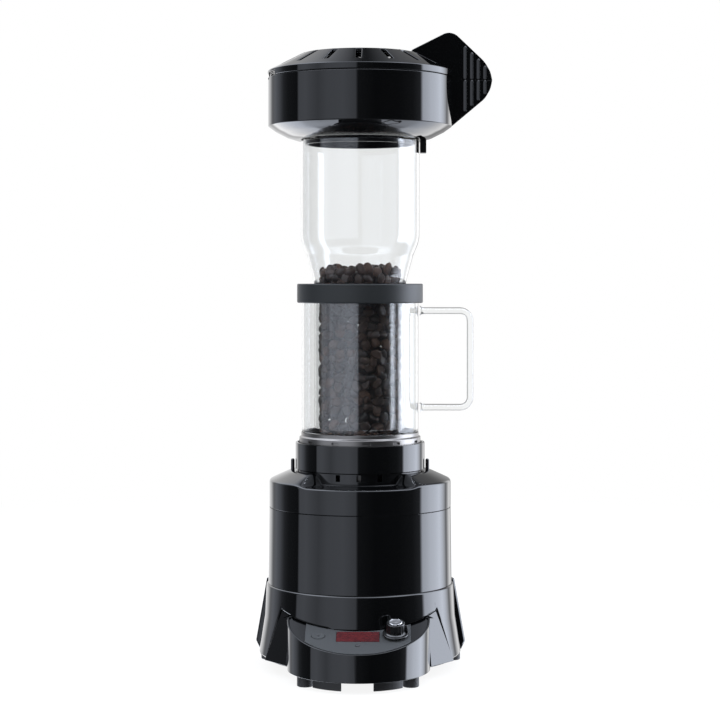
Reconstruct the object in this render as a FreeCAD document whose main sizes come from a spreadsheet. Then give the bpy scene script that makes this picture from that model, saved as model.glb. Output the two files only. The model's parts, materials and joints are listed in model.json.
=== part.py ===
"""Home hot-air coffee bean roaster with its extension tube, as a parametric FreeCAD document.

Millimetres. +Z is up, the control pod faces -Y, and the origin is on the roast axis, on the counter.
"""
import FreeCAD, Part
import math
import os
import re

import Sketcher
from FreeCAD import Placement, Rotation, Vector

# ---------------------------------------------------------------- driving sizes
SIZES = {
    # feet and bottom plate
    "foot_radius": 6.3,
    "foot_height": 9.0,
    "foot_stem_radius": 1.6,
    "front_foot_across": 40.0,
    "front_foot_depth": 80.0,
    "rear_foot_across": 74.5,
    "rear_foot_depth": 26.0,
    "plate_thick": 2.4,
    "plate_radius": 76.6,
    "plate_rear_radius": 81.3,
    "plate_rear_span": 156.0,
    "rib_drop": 8.0,
    "rib_thick": 3.0,
    "rib_inner_across": 12.0,
    "rib_outer_across": 34.0,
    "rib_pod_radius": 47.5,
    "intake_count": 18.0,
    "intake_first_turn": 10.0,
    "intake_near": 26.0,
    "intake_far": 46.0,
    "intake_width": 4.0,
    # housing shells
    "plastic_wall": 2.4,
    "fit_gap": 0.3,
    "skirt_top": 67.0,
    "skirt_bottom": 11.7,
    "skirt_top_radius": 74.5,
    "skirt_mid_height": 42.0,
    "skirt_mid_radius": 75.8,
    "skirt_bottom_radius": 80.5,
    "skirt_flange_inner": 57.0,
    "rear_top_radius": 78.2,
    "rear_widest_radius": 87.4,
    "rear_widest_height": 16.0,
    "rear_bottom_radius": 84.0,
    "rear_span": 156.0,
    "rear_end_wall": 2.0,
    "rear_vent_width": 4.0,
    "rear_vent_low": 38.0,
    "rear_vent_high": 58.0,
    "rear_vent_pitch": 8.0,
    "rear_vent_count": 7.0,
    "shell_bottom_radius": 73.2,
    "shell_top_radius": 72.4,
    "shell_top": 127.5,
    "boss_radius": 4.0,
    "boss_bore": 1.3,
    "screw_hole": 1.45,
    "skirt_boss_circle": 68.0,
    "shell_boss_circle": 67.2,
    "pod_boss_across": 44.5,
    "pod_boss_depth": 62.0,
    "shell_boss_height": 16.0,
    # top cap
    "cap_shoulder": 147.5,
    "dome_shoulder": 148.4,
    "dome_break_radius": 71.4,
    "dome_break_height": 149.6,
    "dome_crown_radius": 56.0,
    "dome_crown_height": 156.5,
    "dome_span": 84.0,
    "collar_radius": 51.6,
    "collar_top": 179.0,
    "collar_wall": 2.2,
    "neck_radius": 50.0,
    "neck_top": 157.5,
    "vent_count": 3.0,
    "vent_width": 3.6,
    "vent_pitch": 19.0,
    "vent_low": 150.8,
    "vent_high": 156.7,
    "post_radius": 1.5,
    "post_across": 53.8,
    "post_height": 8.5,
    # control pod and panel
    "pod_radius": 55.0,
    "pod_centre_depth": 58.0,
    "pod_bottom": 8.6,
    "panel_slope": 17.5,
    "panel_mid_depth": 83.0,
    "panel_mid_height": 38.2,
    "wing_azimuth": 38.6,
    "wing_lean": 8.7,
    "wing_low_radius": 79.9,
    "wing_low": 10.6,
    "wing_height": 41.0,
    "wing_inner_low": 10.6,
    "wing_outer_low": 18.9,
    "wing_inner_high": 7.4,
    "wing_outer_high": 3.7,
    "overlay_thick": 0.6,
    "overlay_across": 40.0,
    "overlay_inset": 2.8,
    "rim_width": 1.5,
    "rim_rise": 1.1,
    "display_width": 32.5,
    "display_height": 15.3,
    "display_back": 1.4,
    "display_thick": 2.0,
    "display_proud": 0.2,
    "button_across": 30.0,
    "button_back": 0.4,
    "button_radius": 5.0,
    "button_proud": 0.7,
    "button_travel": 1.0,
    "lens_back": 15.2,
    "lens_radius": 1.9,
    "knob_across": 28.5,
    "knob_skirt_radius": 10.0,
    "knob_skirt_thick": 1.8,
    "knob_radius": 7.2,
    "knob_height": 12.0,
    "knob_lift": 1.9,
    "knob_cap_radius": 5.2,
    "knob_cap_thick": 0.8,
    "knob_push": 0.8,
    "encoder_shaft_radius": 3.0,
    "encoder_size": 12.4,
    "encoder_bush_radius": 3.6,
    "running_gap": 0.05,
    "board_thick": 1.6,
    "board_drop": 12.4,
    "board_width": 70.0,
    "board_depth": 24.0,
    "board_back": 7.0,
    "board_post_radius": 2.5,
    "board_post_across": 19.0,
    "board_post_back": 2.0,
    "board_post_front": -12.0,
    # air path
    "blower_radius": 56.0,
    "blower_wall": 1.8,
    "blower_top": 106.0,
    "blower_inlet_radius": 31.0,
    "blower_flange_radius": 61.0,
    "heater_radius": 38.0,
    "heater_wall": 0.8,
    "heater_bottom": 118.0,
    "heater_top": 162.5,
    "mica_thick": 1.0,
    "coil_wire_radius": 1.5,
    "coil_gap": 0.2,
    "fan_radius": 47.0,
    "fan_low": 74.0,
    "fan_high": 92.0,
    "fan_blades": 14.0,
    "blade_thick": 1.2,
    "motor_radius": 24.0,
    "motor_low": 26.0,
    "motor_high": 64.0,
    "motor_wall": 1.5,
    "shaft_radius": 2.5,
    "bearing_radius": 7.0,
    "bearing_height": 5.0,
    "spider_arm": 9.0,
    "spider_reach": 50.0,
    "spider_first_turn": 30.0,
    "seat_height": 165.2,
    "seat_inner": 41.2,
    "seat_ledge": 160.4,
    "gasket_thick": 2.5,
    # power electronics
    "power_width": 58.0,
    "power_depth": 30.0,
    "power_back": 50.0,
    "power_height": 18.0,
    "gland_height": 26.0,
    "gland_radius": 7.5,
    "gland_bore": 3.4,
    "gland_length": 14.0,
    "gland_flange": 4.6,
    # roast chamber
    "chamber_radius": 46.6,
    "chamber_wall": 2.2,
    "chamber_foot": 187.0,
    "chamber_rim": 297.0,
    "chamber_neck": 9.0,
    "ring_radius": 48.4,
    "ring_neck_radius": 46.9,
    "ring_break": 183.0,
    "ring_bottom": 168.0,
    "ring_wall": 0.9,
    "ring_slots": 12.0,
    "ring_first_turn": 7.5,
    "diffuser_thick": 1.5,
    "diffuser_slots": 30.0,
    "rod_radius": 2.6,
    "rod_high": 283.6,
    "rod_low": 206.4,
    "rod_reach": 88.0,
    "rod_bend": 8.0,
    # extension tube
    "tube_radius": 47.5,
    "tube_wall": 2.4,
    "tube_top": 419.2,
    "shoulder_top": 339.6,
    "shoulder_mid_radius": 42.6,
    "shoulder_mid": 328.0,
    "shoulder_low_radius": 38.4,
    "shoulder_low": 312.6,
    "stem_radius": 36.7,
    "stem_top": 305.4,
    "stem_bottom": 190.0,
    "grip_radius": 50.3,
    "grip_bottom": 289.8,
    "grip_top": 305.1,
    # chaff collector
    "collector_wall": 2.2,
    "collector_radius": 73.5,
    "collector_seam": 469.2,
    "spigot_radius": 44.0,
    "spigot_bottom": 411.5,
    "flange_radius": 50.0,
    "dish_radius": 57.8,
    "dish_height": 421.6,
    "dish_rise_radius": 67.4,
    "dish_rise_height": 426.4,
    "dish_edge_height": 430.8,
    "lid_radius": 73.9,
    "lid_shoulder": 474.6,
    "lid_flat_radius": 46.8,
    "lid_top": 488.4,
    "lid_slots": 16.0,
    "lid_slot_width": 4.4,
    "lid_slot_near": 47.5,
    "lid_slot_far": 66.0,
    "lip_depth": 4.0,
    "chimney_radius": 38.0,
    "chimney_wall": 1.6,
    "chimney_top": 441.0,
    "screen_height": 472.6,
    "screen_radius": 67.8,
    "handle_azimuth": 10.0,
    "handle_thick": 4.6,
    "handle_root": 41.8,
    "handle_rise_reach": 66.2,
    "handle_apex_reach": 72.2,
    "handle_fall_reach": 79.2,
    "handle_apex_rise": 38.0,
    "handle_shoulder_reach": 101.6,
    "handle_shoulder_rise": 15.0,
    "handle_tip_reach": 106.5,
    "handle_tip_rise": 6.9,
    "handle_reach": 107.9,
    "handle_elbow_reach": 101.9,
    "handle_elbow_drop": 14.8,
    "handle_foot_reach": 74.5,
    "handle_foot_drop": 37.2,
    "grip_rib_first": 85.9,
    "grip_rib_pitch": 5.43,
    "grip_rib_margin": 1.9,
    "handle_split": 0.5,
    "grip_rib_proud": 0.6,
    "grip_rib_width": 1.3,
    "hinge_radius": 71.0,
    "hinge_pin_radius": 0.7,
    "knuckle_radius": 1.5,
    "knuckle_half": 2.6,
    "hinge_half": 6.5,
    "clip_width": 9.0,
    "screw_radius": 1.25,
    "screw_head_radius": 2.6,
    "screw_head": 1.8,
    "board_screw_length": 6.0,
    "lid_screw_near": 54.0,
    "lid_screw_far": 62.5,
    "lid_screw_length": 10.0,
}

# Heights, radii and places that follow from the driving sizes.
DERIVED = {
    "plate_bottom": "foot_height",
    "plate_top": "foot_height + plate_thick",
    "skirt_inner_top": "skirt_top_radius - plastic_wall",
    "skirt_inner_mid": "skirt_mid_radius - plastic_wall",
    "skirt_inner_bottom": "skirt_bottom_radius - plastic_wall",
    "flange_floor": "skirt_top - plastic_wall",
    "shell_inner_bottom": "shell_bottom_radius - plastic_wall",
    "shell_inner_top": "shell_top_radius - plastic_wall",
    "cap_inner": "shell_top_radius - plastic_wall",
    "neck_inner": "neck_radius - collar_wall",
    "collar_inner": "collar_radius - collar_wall",
    "panel_board_low": "-board_drop - board_thick",
    "encoder_height": "board_drop - plastic_wall - 3",
    "fan_plate": "fan_high - 1.6",
    "hinge_height": "collector_seam + fit_gap / 2",
    "hinge_relief_half": "sqrt(lid_radius * lid_radius - hinge_radius * hinge_radius)",
    "hinge_relief_rise": "collector_radius - hinge_radius + 3 * fit_gap",
    "handle_apex": "collector_seam + handle_apex_rise",
    "handle_shoulder": "collector_seam + handle_shoulder_rise",
    "handle_elbow": "collector_seam - handle_elbow_drop",
    "handle_foot": "collector_seam - handle_foot_drop",
    "split_low": "collector_seam + fit_gap / 2 - handle_split / 2",
    "split_high": "collector_seam + fit_gap / 2 + handle_split / 2",
    "seat_top": "seat_height",
    "chamber_inner": "chamber_radius - chamber_wall",
    "neck_glass_radius": "ring_neck_radius - ring_wall - 0.05",
    "neck_glass_inner": "chamber_radius - chamber_wall - 1.2",
    "glass_bottom": "chamber_foot - chamber_neck",
    "gland_seat": "rear_widest_radius - 0.3",
    "gland_hole": "gland_radius - 1.4",
    "ring_floor": "ring_bottom + ring_wall",
    "bowl_inner": "collector_radius - collector_wall",
    "lid_bottom": "collector_seam + fit_gap",
    "lid_lip": "bowl_inner - 0.4",
    "bowl_floor": "dish_height + collector_wall - 1.4",
    "spigot_inner": "spigot_radius - collector_wall",
    "spigot_top": "tube_top + fit_gap",
}

DOC = FreeCAD.newDocument("coffee_roaster")
SHEET = DOC.addObject("Spreadsheet::Sheet", "sizes")
NODES = []


# ---------------------------------------------------------------- sheet and formulas
def fill_sheet():
    """Writes every driving size into its own aliased cell."""
    for row, (name, value) in enumerate(SIZES.items(), start=1):
        SHEET.set("A%d" % row, name)
        SHEET.set("B%d" % row, str(value))
        SHEET.setAlias("B%d" % row, name)
    DOC.recompute()


def formula(text):
    """A formula with derived names written out and driving sizes pointed at the sheet."""
    def word(match):
        name = match.group(0)
        if name in DERIVED:
            return "(" + formula(DERIVED[name]) + ")"
        return "sizes." + name if name in SIZES else name
    return re.sub(r"[a-z][a-z_0-9]*", word, str(text))


def number(text):
    """The present value of a formula."""
    result = SHEET.evalExpression(formula(text))
    return float(getattr(result, "Value", result))


def bind(thing, target, text):
    thing.setExpression(target, formula(text))


def place(thing, across=0, back=0, up=0):
    """Binds where an object stands: X, Y and Z."""
    bind(thing, ".Placement.Base.x", across)
    bind(thing, ".Placement.Base.y", back)
    bind(thing, ".Placement.Base.z", up)
    return thing


def turn(thing, axis, degrees):
    """Binds an object's rotation about an axis through its own base point."""
    thing.Placement = Placement(thing.Placement.Base, Rotation(axis, 1))
    bind(thing, ".Placement.Rotation.Angle", degrees)
    return thing


def named(thing, label):
    """Keeps an object as a finished sub-part under its own name."""
    thing.Label = label
    NODES.append(thing)
    return thing


# ---------------------------------------------------------------- solids from Part
def box(width, depth, height, across=0, back=0, up=0):
    """Box centred across and back, standing on its height up."""
    solid = DOC.addObject("Part::Box", "Block")
    bind(solid, "Length", width)
    bind(solid, "Width", depth)
    bind(solid, "Height", height)
    return place(solid, "(%s) - (%s) / 2" % (across, width), "(%s) - (%s) / 2" % (back, depth), up)


def cylinder(radius, height, across=0, back=0, up=0):
    solid = DOC.addObject("Part::Cylinder", "Round")
    bind(solid, "Radius", radius)
    bind(solid, "Height", height)
    return place(solid, across, back, up)


def cone(low_radius, high_radius, height, up=0):
    solid = DOC.addObject("Part::Cone", "Cone")
    bind(solid, "Radius1", low_radius)
    bind(solid, "Radius2", high_radius)
    bind(solid, "Height", height)
    return place(solid, 0, 0, up)


def backward(radius, length, start, height):
    """Round bar that lies along +Y from its start."""
    bar = turn(cylinder(radius, length), Vector(1, 0, 0), "-90")
    return place(bar, 0, start, height)


def outward(radius, length, start, height, azimuth):
    """Round bar that points away from the roast axis at an azimuth."""
    bar = turn(cylinder(radius, length), Vector(0, 1, 0), "90")
    place(bar, start, 0, height)
    return turn(group(bar), Vector(0, 0, 1), azimuth)


def fuse(*solids):
    joined = DOC.addObject("Part::MultiFuse", "Joined")
    joined.Shapes = list(solids)
    return joined


def group(*solids):
    """Separate solids kept together as one set."""
    together = DOC.addObject("Part::Compound", "Set")
    together.Links = list(solids)
    return together


def common(first, second):
    shared = DOC.addObject("Part::Common", "Shared")
    shared.Base = first
    shared.Tool = second
    return shared


def cut(base, *tools):
    """What is left of the base when each tool in turn is taken away."""
    left = base
    for tool in tools:
        whole = left
        left = DOC.addObject("Part::Cut", "Left")
        left.Base = whole
        left.Tool = tool
    return left


def ring(outer, inner, height, across=0, back=0, up=0):
    """Flat ring; its hole runs past both faces."""
    hole = cylinder(inner, "(%s) + 2" % height, across, back, "(%s) - 1" % up)
    return cut(cylinder(outer, height, across, back, up), hole)


def mirrored(solid, normal=Vector(1, 0, 0)):
    twin = DOC.addObject("Part::Mirroring", "Twin")
    twin.Source = solid
    twin.Normal = normal
    return twin


def around(make, count, first=0, full=360.0):
    """Copies made by make(degrees), spaced evenly from the first angle."""
    return [make(first + full * index / count) for index in range(int(count))]


# ---------------------------------------------------------------- bodies from PartDesign
def new_body(label):
    body = DOC.addObject("PartDesign::Body", "Body")
    return named(body, label)


def origin_part(body, role):
    return [feature for feature in body.Origin.OriginFeatures if feature.Role == role][0]


def new_sketch(body, plane, lift=None):
    """Sketch on one of the body's own origin planes, or on a plane lifted off it."""
    sketch = body.newObject("Sketcher::SketchObject", "Sketch")
    sketch.AttachmentSupport = [(origin_part(body, plane), "")]
    sketch.MapMode = "FlatFace"
    if lift is not None:
        bind(sketch, ".AttachmentOffset.Base.z", lift)
    return sketch


def dimension(sketch, kind, edge, corner, text):
    spot = sketch.addConstraint(Sketcher.Constraint(kind, -1, 1, edge, corner, number(text)))
    bind(sketch, "Constraints[%d]" % spot, text)


def draw_polygon(sketch, corners):
    """Closed outline through corners given as (across, up) formulas."""
    first = sketch.GeometryCount
    count = len(corners)
    spots = [Vector(number(across), number(up), 0) for across, up in corners]
    for start, end in zip(spots, spots[1:] + spots[:1]):
        sketch.addGeometry(Part.LineSegment(start, end))
    for index in range(count):
        after = first + (index + 1) % count
        sketch.addConstraint(Sketcher.Constraint("Coincident", first + index, 2, after, 1))
    for index, (across, up) in enumerate(corners):
        dimension(sketch, "DistanceX", first + index, 1, across)
        dimension(sketch, "DistanceY", first + index, 1, up)


def draw_circle(sketch, across, up, radius):
    centre = Vector(number(across), number(up), 0)
    edge = sketch.addGeometry(Part.Circle(centre, Vector(0, 0, 1), number(radius)))
    dimension(sketch, "DistanceX", edge, 3, across)
    dimension(sketch, "DistanceY", edge, 3, up)
    spot = sketch.addConstraint(Sketcher.Constraint("Radius", edge, number(radius)))
    bind(sketch, "Constraints[%d]" % spot, radius)


def polygon(body, plane, corners, lift=None):
    sketch = new_sketch(body, plane, lift)
    draw_polygon(sketch, corners)
    return sketch


def circle(body, plane, across, up, radius, lift=None):
    sketch = new_sketch(body, plane, lift)
    draw_circle(sketch, across, up, radius)
    return sketch


def swept_feature(body, kind, sketch, degrees, middle):
    feature = body.newObject(kind, "Turned")
    feature.Profile = sketch
    feature.ReferenceAxis = (sketch, ["V_Axis"])
    bind(feature, "Angle", degrees)
    feature.Midplane = middle
    body.Tip = feature
    return feature


def turned(body, corners, degrees=360, plane="XZ_Plane"):
    """Adds a solid turned about the vertical axis; a part turn is centred on the sketch plane."""
    sketch = polygon(body, plane, corners)
    return swept_feature(body, "PartDesign::Revolution", sketch, degrees, degrees != 360)


def grooved(body, corners, degrees=360, plane="XZ_Plane"):
    """Takes away a solid turned about the vertical axis."""
    sketch = polygon(body, plane, corners)
    return swept_feature(body, "PartDesign::Groove", sketch, degrees, degrees != 360)


def pad(body, sketch, length, middle=False):
    feature = body.newObject("PartDesign::Pad", "Pad")
    feature.Profile = sketch
    bind(feature, "Length", length)
    feature.Midplane = middle
    body.Tip = feature
    return feature


def pocket(body, sketch, length, middle=False, reverse=False):
    """Cuts below the sketch plane, to both sides with middle, or above it with reverse."""
    feature = body.newObject("PartDesign::Pocket", "Pocket")
    feature.Profile = sketch
    feature.Type = "Length"
    bind(feature, "Length", length)
    feature.Midplane = middle
    feature.Reversed = reverse
    body.Tip = feature
    return feature


def repeat(body, feature, count, degrees=360):
    """Repeats a feature around the vertical axis."""
    pattern = body.newObject("PartDesign::PolarPattern", "Pattern")
    pattern.Originals = [feature]
    pattern.Axis = (origin_part(body, "Z_Axis"), [""])
    bind(pattern, "Angle", degrees)
    bind(pattern, "Occurrences", count)
    body.Tip = pattern
    return pattern


def lathe(label, corners):
    """Body turned in full about the roast axis from (radius, height) corners."""
    body = new_body(label)
    turned(body, corners)
    return body


def rectangle(left, right, low, high):
    return [(left, low), (right, low), (right, high), (left, high)]


def on_panel(thing):
    """Stands an object on the sloping panel: its own Z is the panel's outward normal."""
    turn(thing, Vector(1, 0, 0), "panel_slope")
    return place(thing, 0, "-panel_mid_depth", "panel_mid_height")


# ---------------------------------------------------------------- stand
def front_feet_spots():
    return [("%sfront_foot_across" % side, "-front_foot_depth") for side in ("-", "")]


def rear_feet_spots():
    return [("%srear_foot_across" % side, "rear_foot_depth") for side in ("-", "")]


def rubber_feet():
    """Four round feet with stems pushed up into the bottom plate."""
    feet = []
    for across, back in front_feet_spots() + rear_feet_spots():
        pad_solid = cylinder("foot_radius", "foot_height", across, back, 0)
        stem = cylinder("foot_stem_radius", "plate_thick", across, back, "foot_height")
        feet.append(fuse(pad_solid, stem))
    return named(group(*feet), "rubber_feet")


def skirt_boss_spots():
    """Two places on a circle, between the sides and the back."""
    reach = "skirt_boss_circle * cos(45 deg)"
    return [(reach, reach), ("-" + reach, reach)]


def pod_boss_spots():
    return [("pod_boss_across", "-pod_boss_depth"), ("-pod_boss_across", "-pod_boss_depth")]


def shell_boss_spots():
    return [("shell_boss_circle", "0"), ("-shell_boss_circle", "0"), ("0", "shell_boss_circle")]


def pod_rib():
    """Short curved wall under the front of the pod."""
    arc = ring("rib_pod_radius", "rib_pod_radius - rib_thick", "rib_drop + 0.5",
               0, "-pod_centre_depth", "foot_height - rib_drop")
    width = "rib_outer_across - rib_inner_across"
    middle = "(rib_outer_across + rib_inner_across) / 2"
    window = box(width, "pod_radius", "rib_drop + 2", middle,
                 "-pod_centre_depth - pod_radius / 2", "foot_height - rib_drop - 1")
    return common(arc, window)


def bottom_plate():
    """Floor of the housing with its air intake slots, foot holes and front ribs."""
    disc = cylinder("plate_radius", "plate_thick", 0, 0, "plate_bottom")
    pod_disc = cylinder("pod_radius - plastic_wall - fit_gap", "plate_thick",
                        0, "-pod_centre_depth", "plate_bottom")
    rear = cylinder("plate_rear_radius", "plate_thick", 0, 0, "plate_bottom")
    bind(rear, "Angle", "plate_rear_span")
    turn(rear, Vector(0, 0, 1), "90 - plate_rear_span / 2")
    rib = pod_rib()
    posts = [cylinder("boss_radius", "power_height - plate_top + 0.1", across, back, "plate_top - 0.1")
             for across, back in board_spots()]
    solid = fuse(disc, pod_disc, rear, rib, mirrored(rib), *posts)
    slots = []
    for degrees in around(lambda angle: angle, SIZES["intake_count"], SIZES["intake_first_turn"]):
        slot = box("intake_far - intake_near", "intake_width", "plate_thick + 2",
                   "(intake_far + intake_near) / 2", 0, "plate_bottom - 1")
        slots.append(turn(group(slot), Vector(0, 0, 1), degrees))
    holes = [cylinder("foot_stem_radius", "plate_thick + 2", across, back, "plate_bottom - 1")
             for across, back in front_feet_spots() + rear_feet_spots()]
    holes += [cylinder("screw_hole", "plate_thick + 2", across, back, "plate_bottom - 1")
              for across, back in skirt_boss_spots() + pod_boss_spots()]
    holes += [cylinder("boss_bore", "plate_top", across, back, "plate_top + 1")
              for across, back in board_spots()]
    return named(cut(solid, group(*slots), group(*holes)), "bottom_plate")


# ---------------------------------------------------------------- housing
def pod_drum(radius, low):
    """Upright drum about the pod's own axis, taller than the panel."""
    return cylinder(radius, "panel_mid_height + 20", 0, "-pod_centre_depth", low)


def pod_space(grow):
    """Outside form of the control pod, grown all round: a D under the sloping panel."""
    drum = pod_drum("pod_radius + %s" % grow, "pod_bottom - %s" % grow)
    under = box("4 * pod_radius", "4 * pod_radius", "pod_radius * 2", 0, 0, "%s - pod_radius * 2" % grow)
    return common(drum, on_panel(group(under)))


def wing_form(grow, deep, raise_by):
    """Flat flared cheek beside the pod, as a plate on its own leaning plane."""
    body = DOC.addObject("PartDesign::Body", "Wing")
    corners = [
        ("-wing_inner_low - 6 * %s" % grow, "-%s" % grow),
        ("wing_outer_low + %s" % grow, "-%s" % grow),
        ("wing_outer_high + %s" % grow, "wing_height + %s" % grow),
        ("-wing_inner_high - 6 * %s" % grow, "wing_height - 3 + %s" % grow),
    ]
    sketch = polygon(body, "XZ_Plane", corners, "%s" % raise_by)
    feature = pad(body, sketch, deep)
    feature.Reversed = True
    bind(sketch, ".AttachmentOffset.Base.z", raise_by)
    leaned = group(body)
    turn(leaned, Vector(1, 0, 0), "-wing_lean")
    place(leaned, 0, "-wing_low_radius", "wing_low")
    return turn(group(leaned), Vector(0, 0, 1), "90 - wing_azimuth")


def skirt_solid(shrink):
    """Everything inside the flared skirt's surface, shrunk by a wall."""
    low = cone("skirt_bottom_radius - %s" % shrink, "skirt_mid_radius - %s" % shrink,
               "skirt_mid_height - skirt_bottom", "skirt_bottom")
    high = cone("skirt_mid_radius - %s" % shrink, "skirt_top_radius - %s" % shrink,
                "skirt_top - skirt_mid_height", "skirt_mid_height")
    below = cylinder("skirt_bottom_radius - %s" % shrink, "skirt_bottom", 0, 0, 0)
    return fuse(low, high, below)


def base_skirt():
    """Flared lower shell with a top flange, screw bosses and the pod's opening."""
    body = DOC.addObject("PartDesign::Body", "Skirt")
    turned(body, [
        ("skirt_bottom_radius", "skirt_bottom"),
        ("skirt_mid_radius", "skirt_mid_height"),
        ("skirt_top_radius", "skirt_top"),
        ("skirt_flange_inner", "skirt_top"),
        ("skirt_flange_inner", "flange_floor"),
        ("skirt_inner_top", "flange_floor"),
        ("skirt_inner_mid", "skirt_mid_height"),
        ("skirt_inner_bottom", "skirt_bottom"),
    ])
    bosses = [cylinder("boss_radius", "flange_floor - plate_top + 0.1", across, back, "plate_top")
              for across, back in skirt_boss_spots()]
    solid = fuse(body, *bosses)
    wing = wing_form("fit_gap", "12", "4")
    bores = [cylinder("boss_bore", "22", across, back, "plate_top - 1")
             for across, back in skirt_boss_spots()]
    bores += [cylinder("screw_hole", "plastic_wall + 2", across, back, "flange_floor - 1")
              for across, back in shell_boss_spots()]
    lead_hole = backward("gland_hole", "30", "skirt_top_radius - 10", "gland_height")
    solid = cut(solid, pod_space("fit_gap"), wing, mirrored(wing), group(*bores), lead_hole)
    return named(solid, "base_skirt")


def board_spots():
    reach = "(power_width / 2 - 4)"
    deep = "(power_depth / 2 - 4)"
    return [("%s%s" % (x, reach), "power_back %s %s" % (y, deep)) for x in ("", "-") for y in ("+", "-")]


def rear_cover():
    """Proud shell round the back of the skirt, with a vent grille and the cord gland's hole."""
    body = DOC.addObject("PartDesign::Body", "Rear")
    inner_top = "skirt_top_radius + fit_gap"
    turned(body, [
        ("skirt_bottom_radius + fit_gap", "plate_bottom + 2.6"),
        ("rear_bottom_radius", "plate_bottom"),
        ("rear_widest_radius", "rear_widest_height"),
        ("rear_top_radius", "skirt_top"),
        (inner_top, "skirt_top"),
        ("skirt_mid_radius + fit_gap", "skirt_mid_height"),
        ("skirt_bottom_radius + fit_gap", "skirt_bottom"),
    ], "rear_span", "YZ_Plane")
    grooved(body, [
        ("rear_bottom_radius - plastic_wall", "plate_bottom - 1"),
        ("rear_bottom_radius - plastic_wall", "plate_bottom"),
        ("rear_widest_radius - plastic_wall", "rear_widest_height"),
        ("rear_top_radius - plastic_wall", "skirt_top - plastic_wall"),
        ("skirt_inner_top", "skirt_top - plastic_wall"),
        ("skirt_inner_top", "plate_bottom - 1"),
    ], "rear_span - 2 * rear_end_wall", "YZ_Plane")
    vents = []
    for index in range(int(SIZES["rear_vent_count"])):
        shift = "(%d - (rear_vent_count - 1) / 2) * rear_vent_pitch" % index
        vents.append(box("rear_vent_width", "20", "rear_vent_high - rear_vent_low",
                         shift, "rear_widest_radius", "rear_vent_low"))
    seat_start = "skirt_bottom_radius"
    seat = backward("gland_radius + 1", "gland_seat - (%s)" % seat_start, seat_start, "gland_height")
    hole = backward("gland_hole", "30", "skirt_top_radius", "gland_height")
    return named(cut(fuse(body, seat), group(*vents), hole), "rear_cover")


def main_shell():
    """Tall body shell that stands on the skirt's flange, with screw bosses inside."""
    body = DOC.addObject("PartDesign::Body", "Shell")
    turned(body, [
        ("shell_bottom_radius", "skirt_top"),
        ("shell_top_radius", "shell_top"),
        ("shell_inner_top", "shell_top"),
        ("shell_inner_bottom", "skirt_top"),
    ])
    bosses = [cylinder("boss_radius", "shell_boss_height", across, back, "skirt_top")
              for across, back in shell_boss_spots()]
    bores = [cylinder("boss_bore", "shell_boss_height", across, back, "skirt_top - 2")
             for across, back in shell_boss_spots()]
    return named(cut(fuse(body, *bosses), group(*bores)), "main_shell")


def dome_outline():
    return [
        ("shell_top_radius", "cap_shoulder - 0.5"),
        ("shell_top_radius", "dome_shoulder"),
        ("dome_break_radius", "dome_break_height"),
        ("dome_crown_radius", "dome_crown_height"),
        ("neck_radius + 0.5", "dome_crown_height"),
        ("neck_radius - 1.5", "cap_shoulder - 0.5"),
    ]


def top_cap():
    """Cap with a dome on each side, a vented neck between them and the collar above."""
    body = DOC.addObject("PartDesign::Body", "Cap")
    turned(body, [
        ("shell_top_radius", "shell_top + fit_gap"),
        ("shell_top_radius", "cap_shoulder"),
        ("neck_radius", "cap_shoulder + 1"),
        ("neck_radius", "neck_top"),
        ("collar_radius", "neck_top"),
        ("collar_radius", "collar_top"),
        ("collar_inner", "collar_top"),
        ("collar_inner", "seat_ledge + plastic_wall"),
        ("neck_inner - 3.6", "seat_ledge + plastic_wall"),
        ("neck_inner - 3.6", "seat_ledge"),
        ("neck_inner", "seat_ledge"),
        ("neck_inner", "cap_shoulder - 1.2"),
        ("cap_inner", "cap_shoulder - 2.2"),
        ("cap_inner", "shell_top + plastic_wall + fit_gap"),
        ("cap_inner - plastic_wall", "shell_top + plastic_wall + fit_gap"),
        ("cap_inner - plastic_wall", "shell_top - 3.5"),
        ("cap_inner - fit_gap", "shell_top - 3.5"),
        ("cap_inner - fit_gap", "shell_top + fit_gap"),
    ])
    dome = turned(body, dome_outline(), "dome_span")
    hollow = grooved(body, [
        ("neck_radius + plastic_wall", "cap_shoulder - 5"),
        ("cap_inner - 0.4", "cap_shoulder - 5"),
        ("cap_inner - 0.4", "cap_shoulder - 0.4"),
        ("dome_crown_radius - 0.8", "dome_crown_height - 2.2"),
        ("neck_radius + plastic_wall", "dome_crown_height - 2.2"),
    ], "dome_span - 4")
    pattern = repeat(body, dome, 2)
    pattern.Originals = [dome, hollow]
    posts = [cylinder("post_radius", "post_height + 2", "%spost_across" % side, 0, "dome_crown_height - 1.5")
             for side in ("-", "")]
    vents = []
    for index in range(int(SIZES["vent_count"])):
        slot = box("vent_width", "2 * neck_radius + 6", "vent_high - vent_low", 0, 0, "vent_low")
        degrees = "(%d - (vent_count - 1) / 2) * vent_pitch" % index
        vents.append(turn(group(slot), Vector(0, 0, 1), degrees))
    return named(cut(fuse(body, *posts), *vents), "top_cap")


def chamber_seat():
    """Ring on the collar's ledge that carries the chamber and guides the heater tube."""
    return lathe("chamber_seat", [
        ("heater_radius + fit_gap", "seat_ledge - 10"),
        ("heater_radius + plastic_wall", "seat_ledge - 10"),
        ("heater_radius + plastic_wall", "seat_ledge + plastic_wall"),
        ("collar_inner - fit_gap", "seat_ledge + plastic_wall"),
        ("collar_inner - fit_gap", "seat_top"),
        ("heater_radius + fit_gap", "seat_top"),
    ])


def seat_gasket():
    return lathe("seat_gasket", rectangle(
        "seat_inner", "collar_inner - 0.8", "seat_top", "seat_top + gasket_thick"))


# ---------------------------------------------------------------- control pod
def panel_box(width, depth, height, across, down, low):
    """Box in the panel's own frame: down is towards the slope's foot, low is its underside."""
    return box(width, depth, height, across, "0 - (%s)" % down, low)


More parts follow.
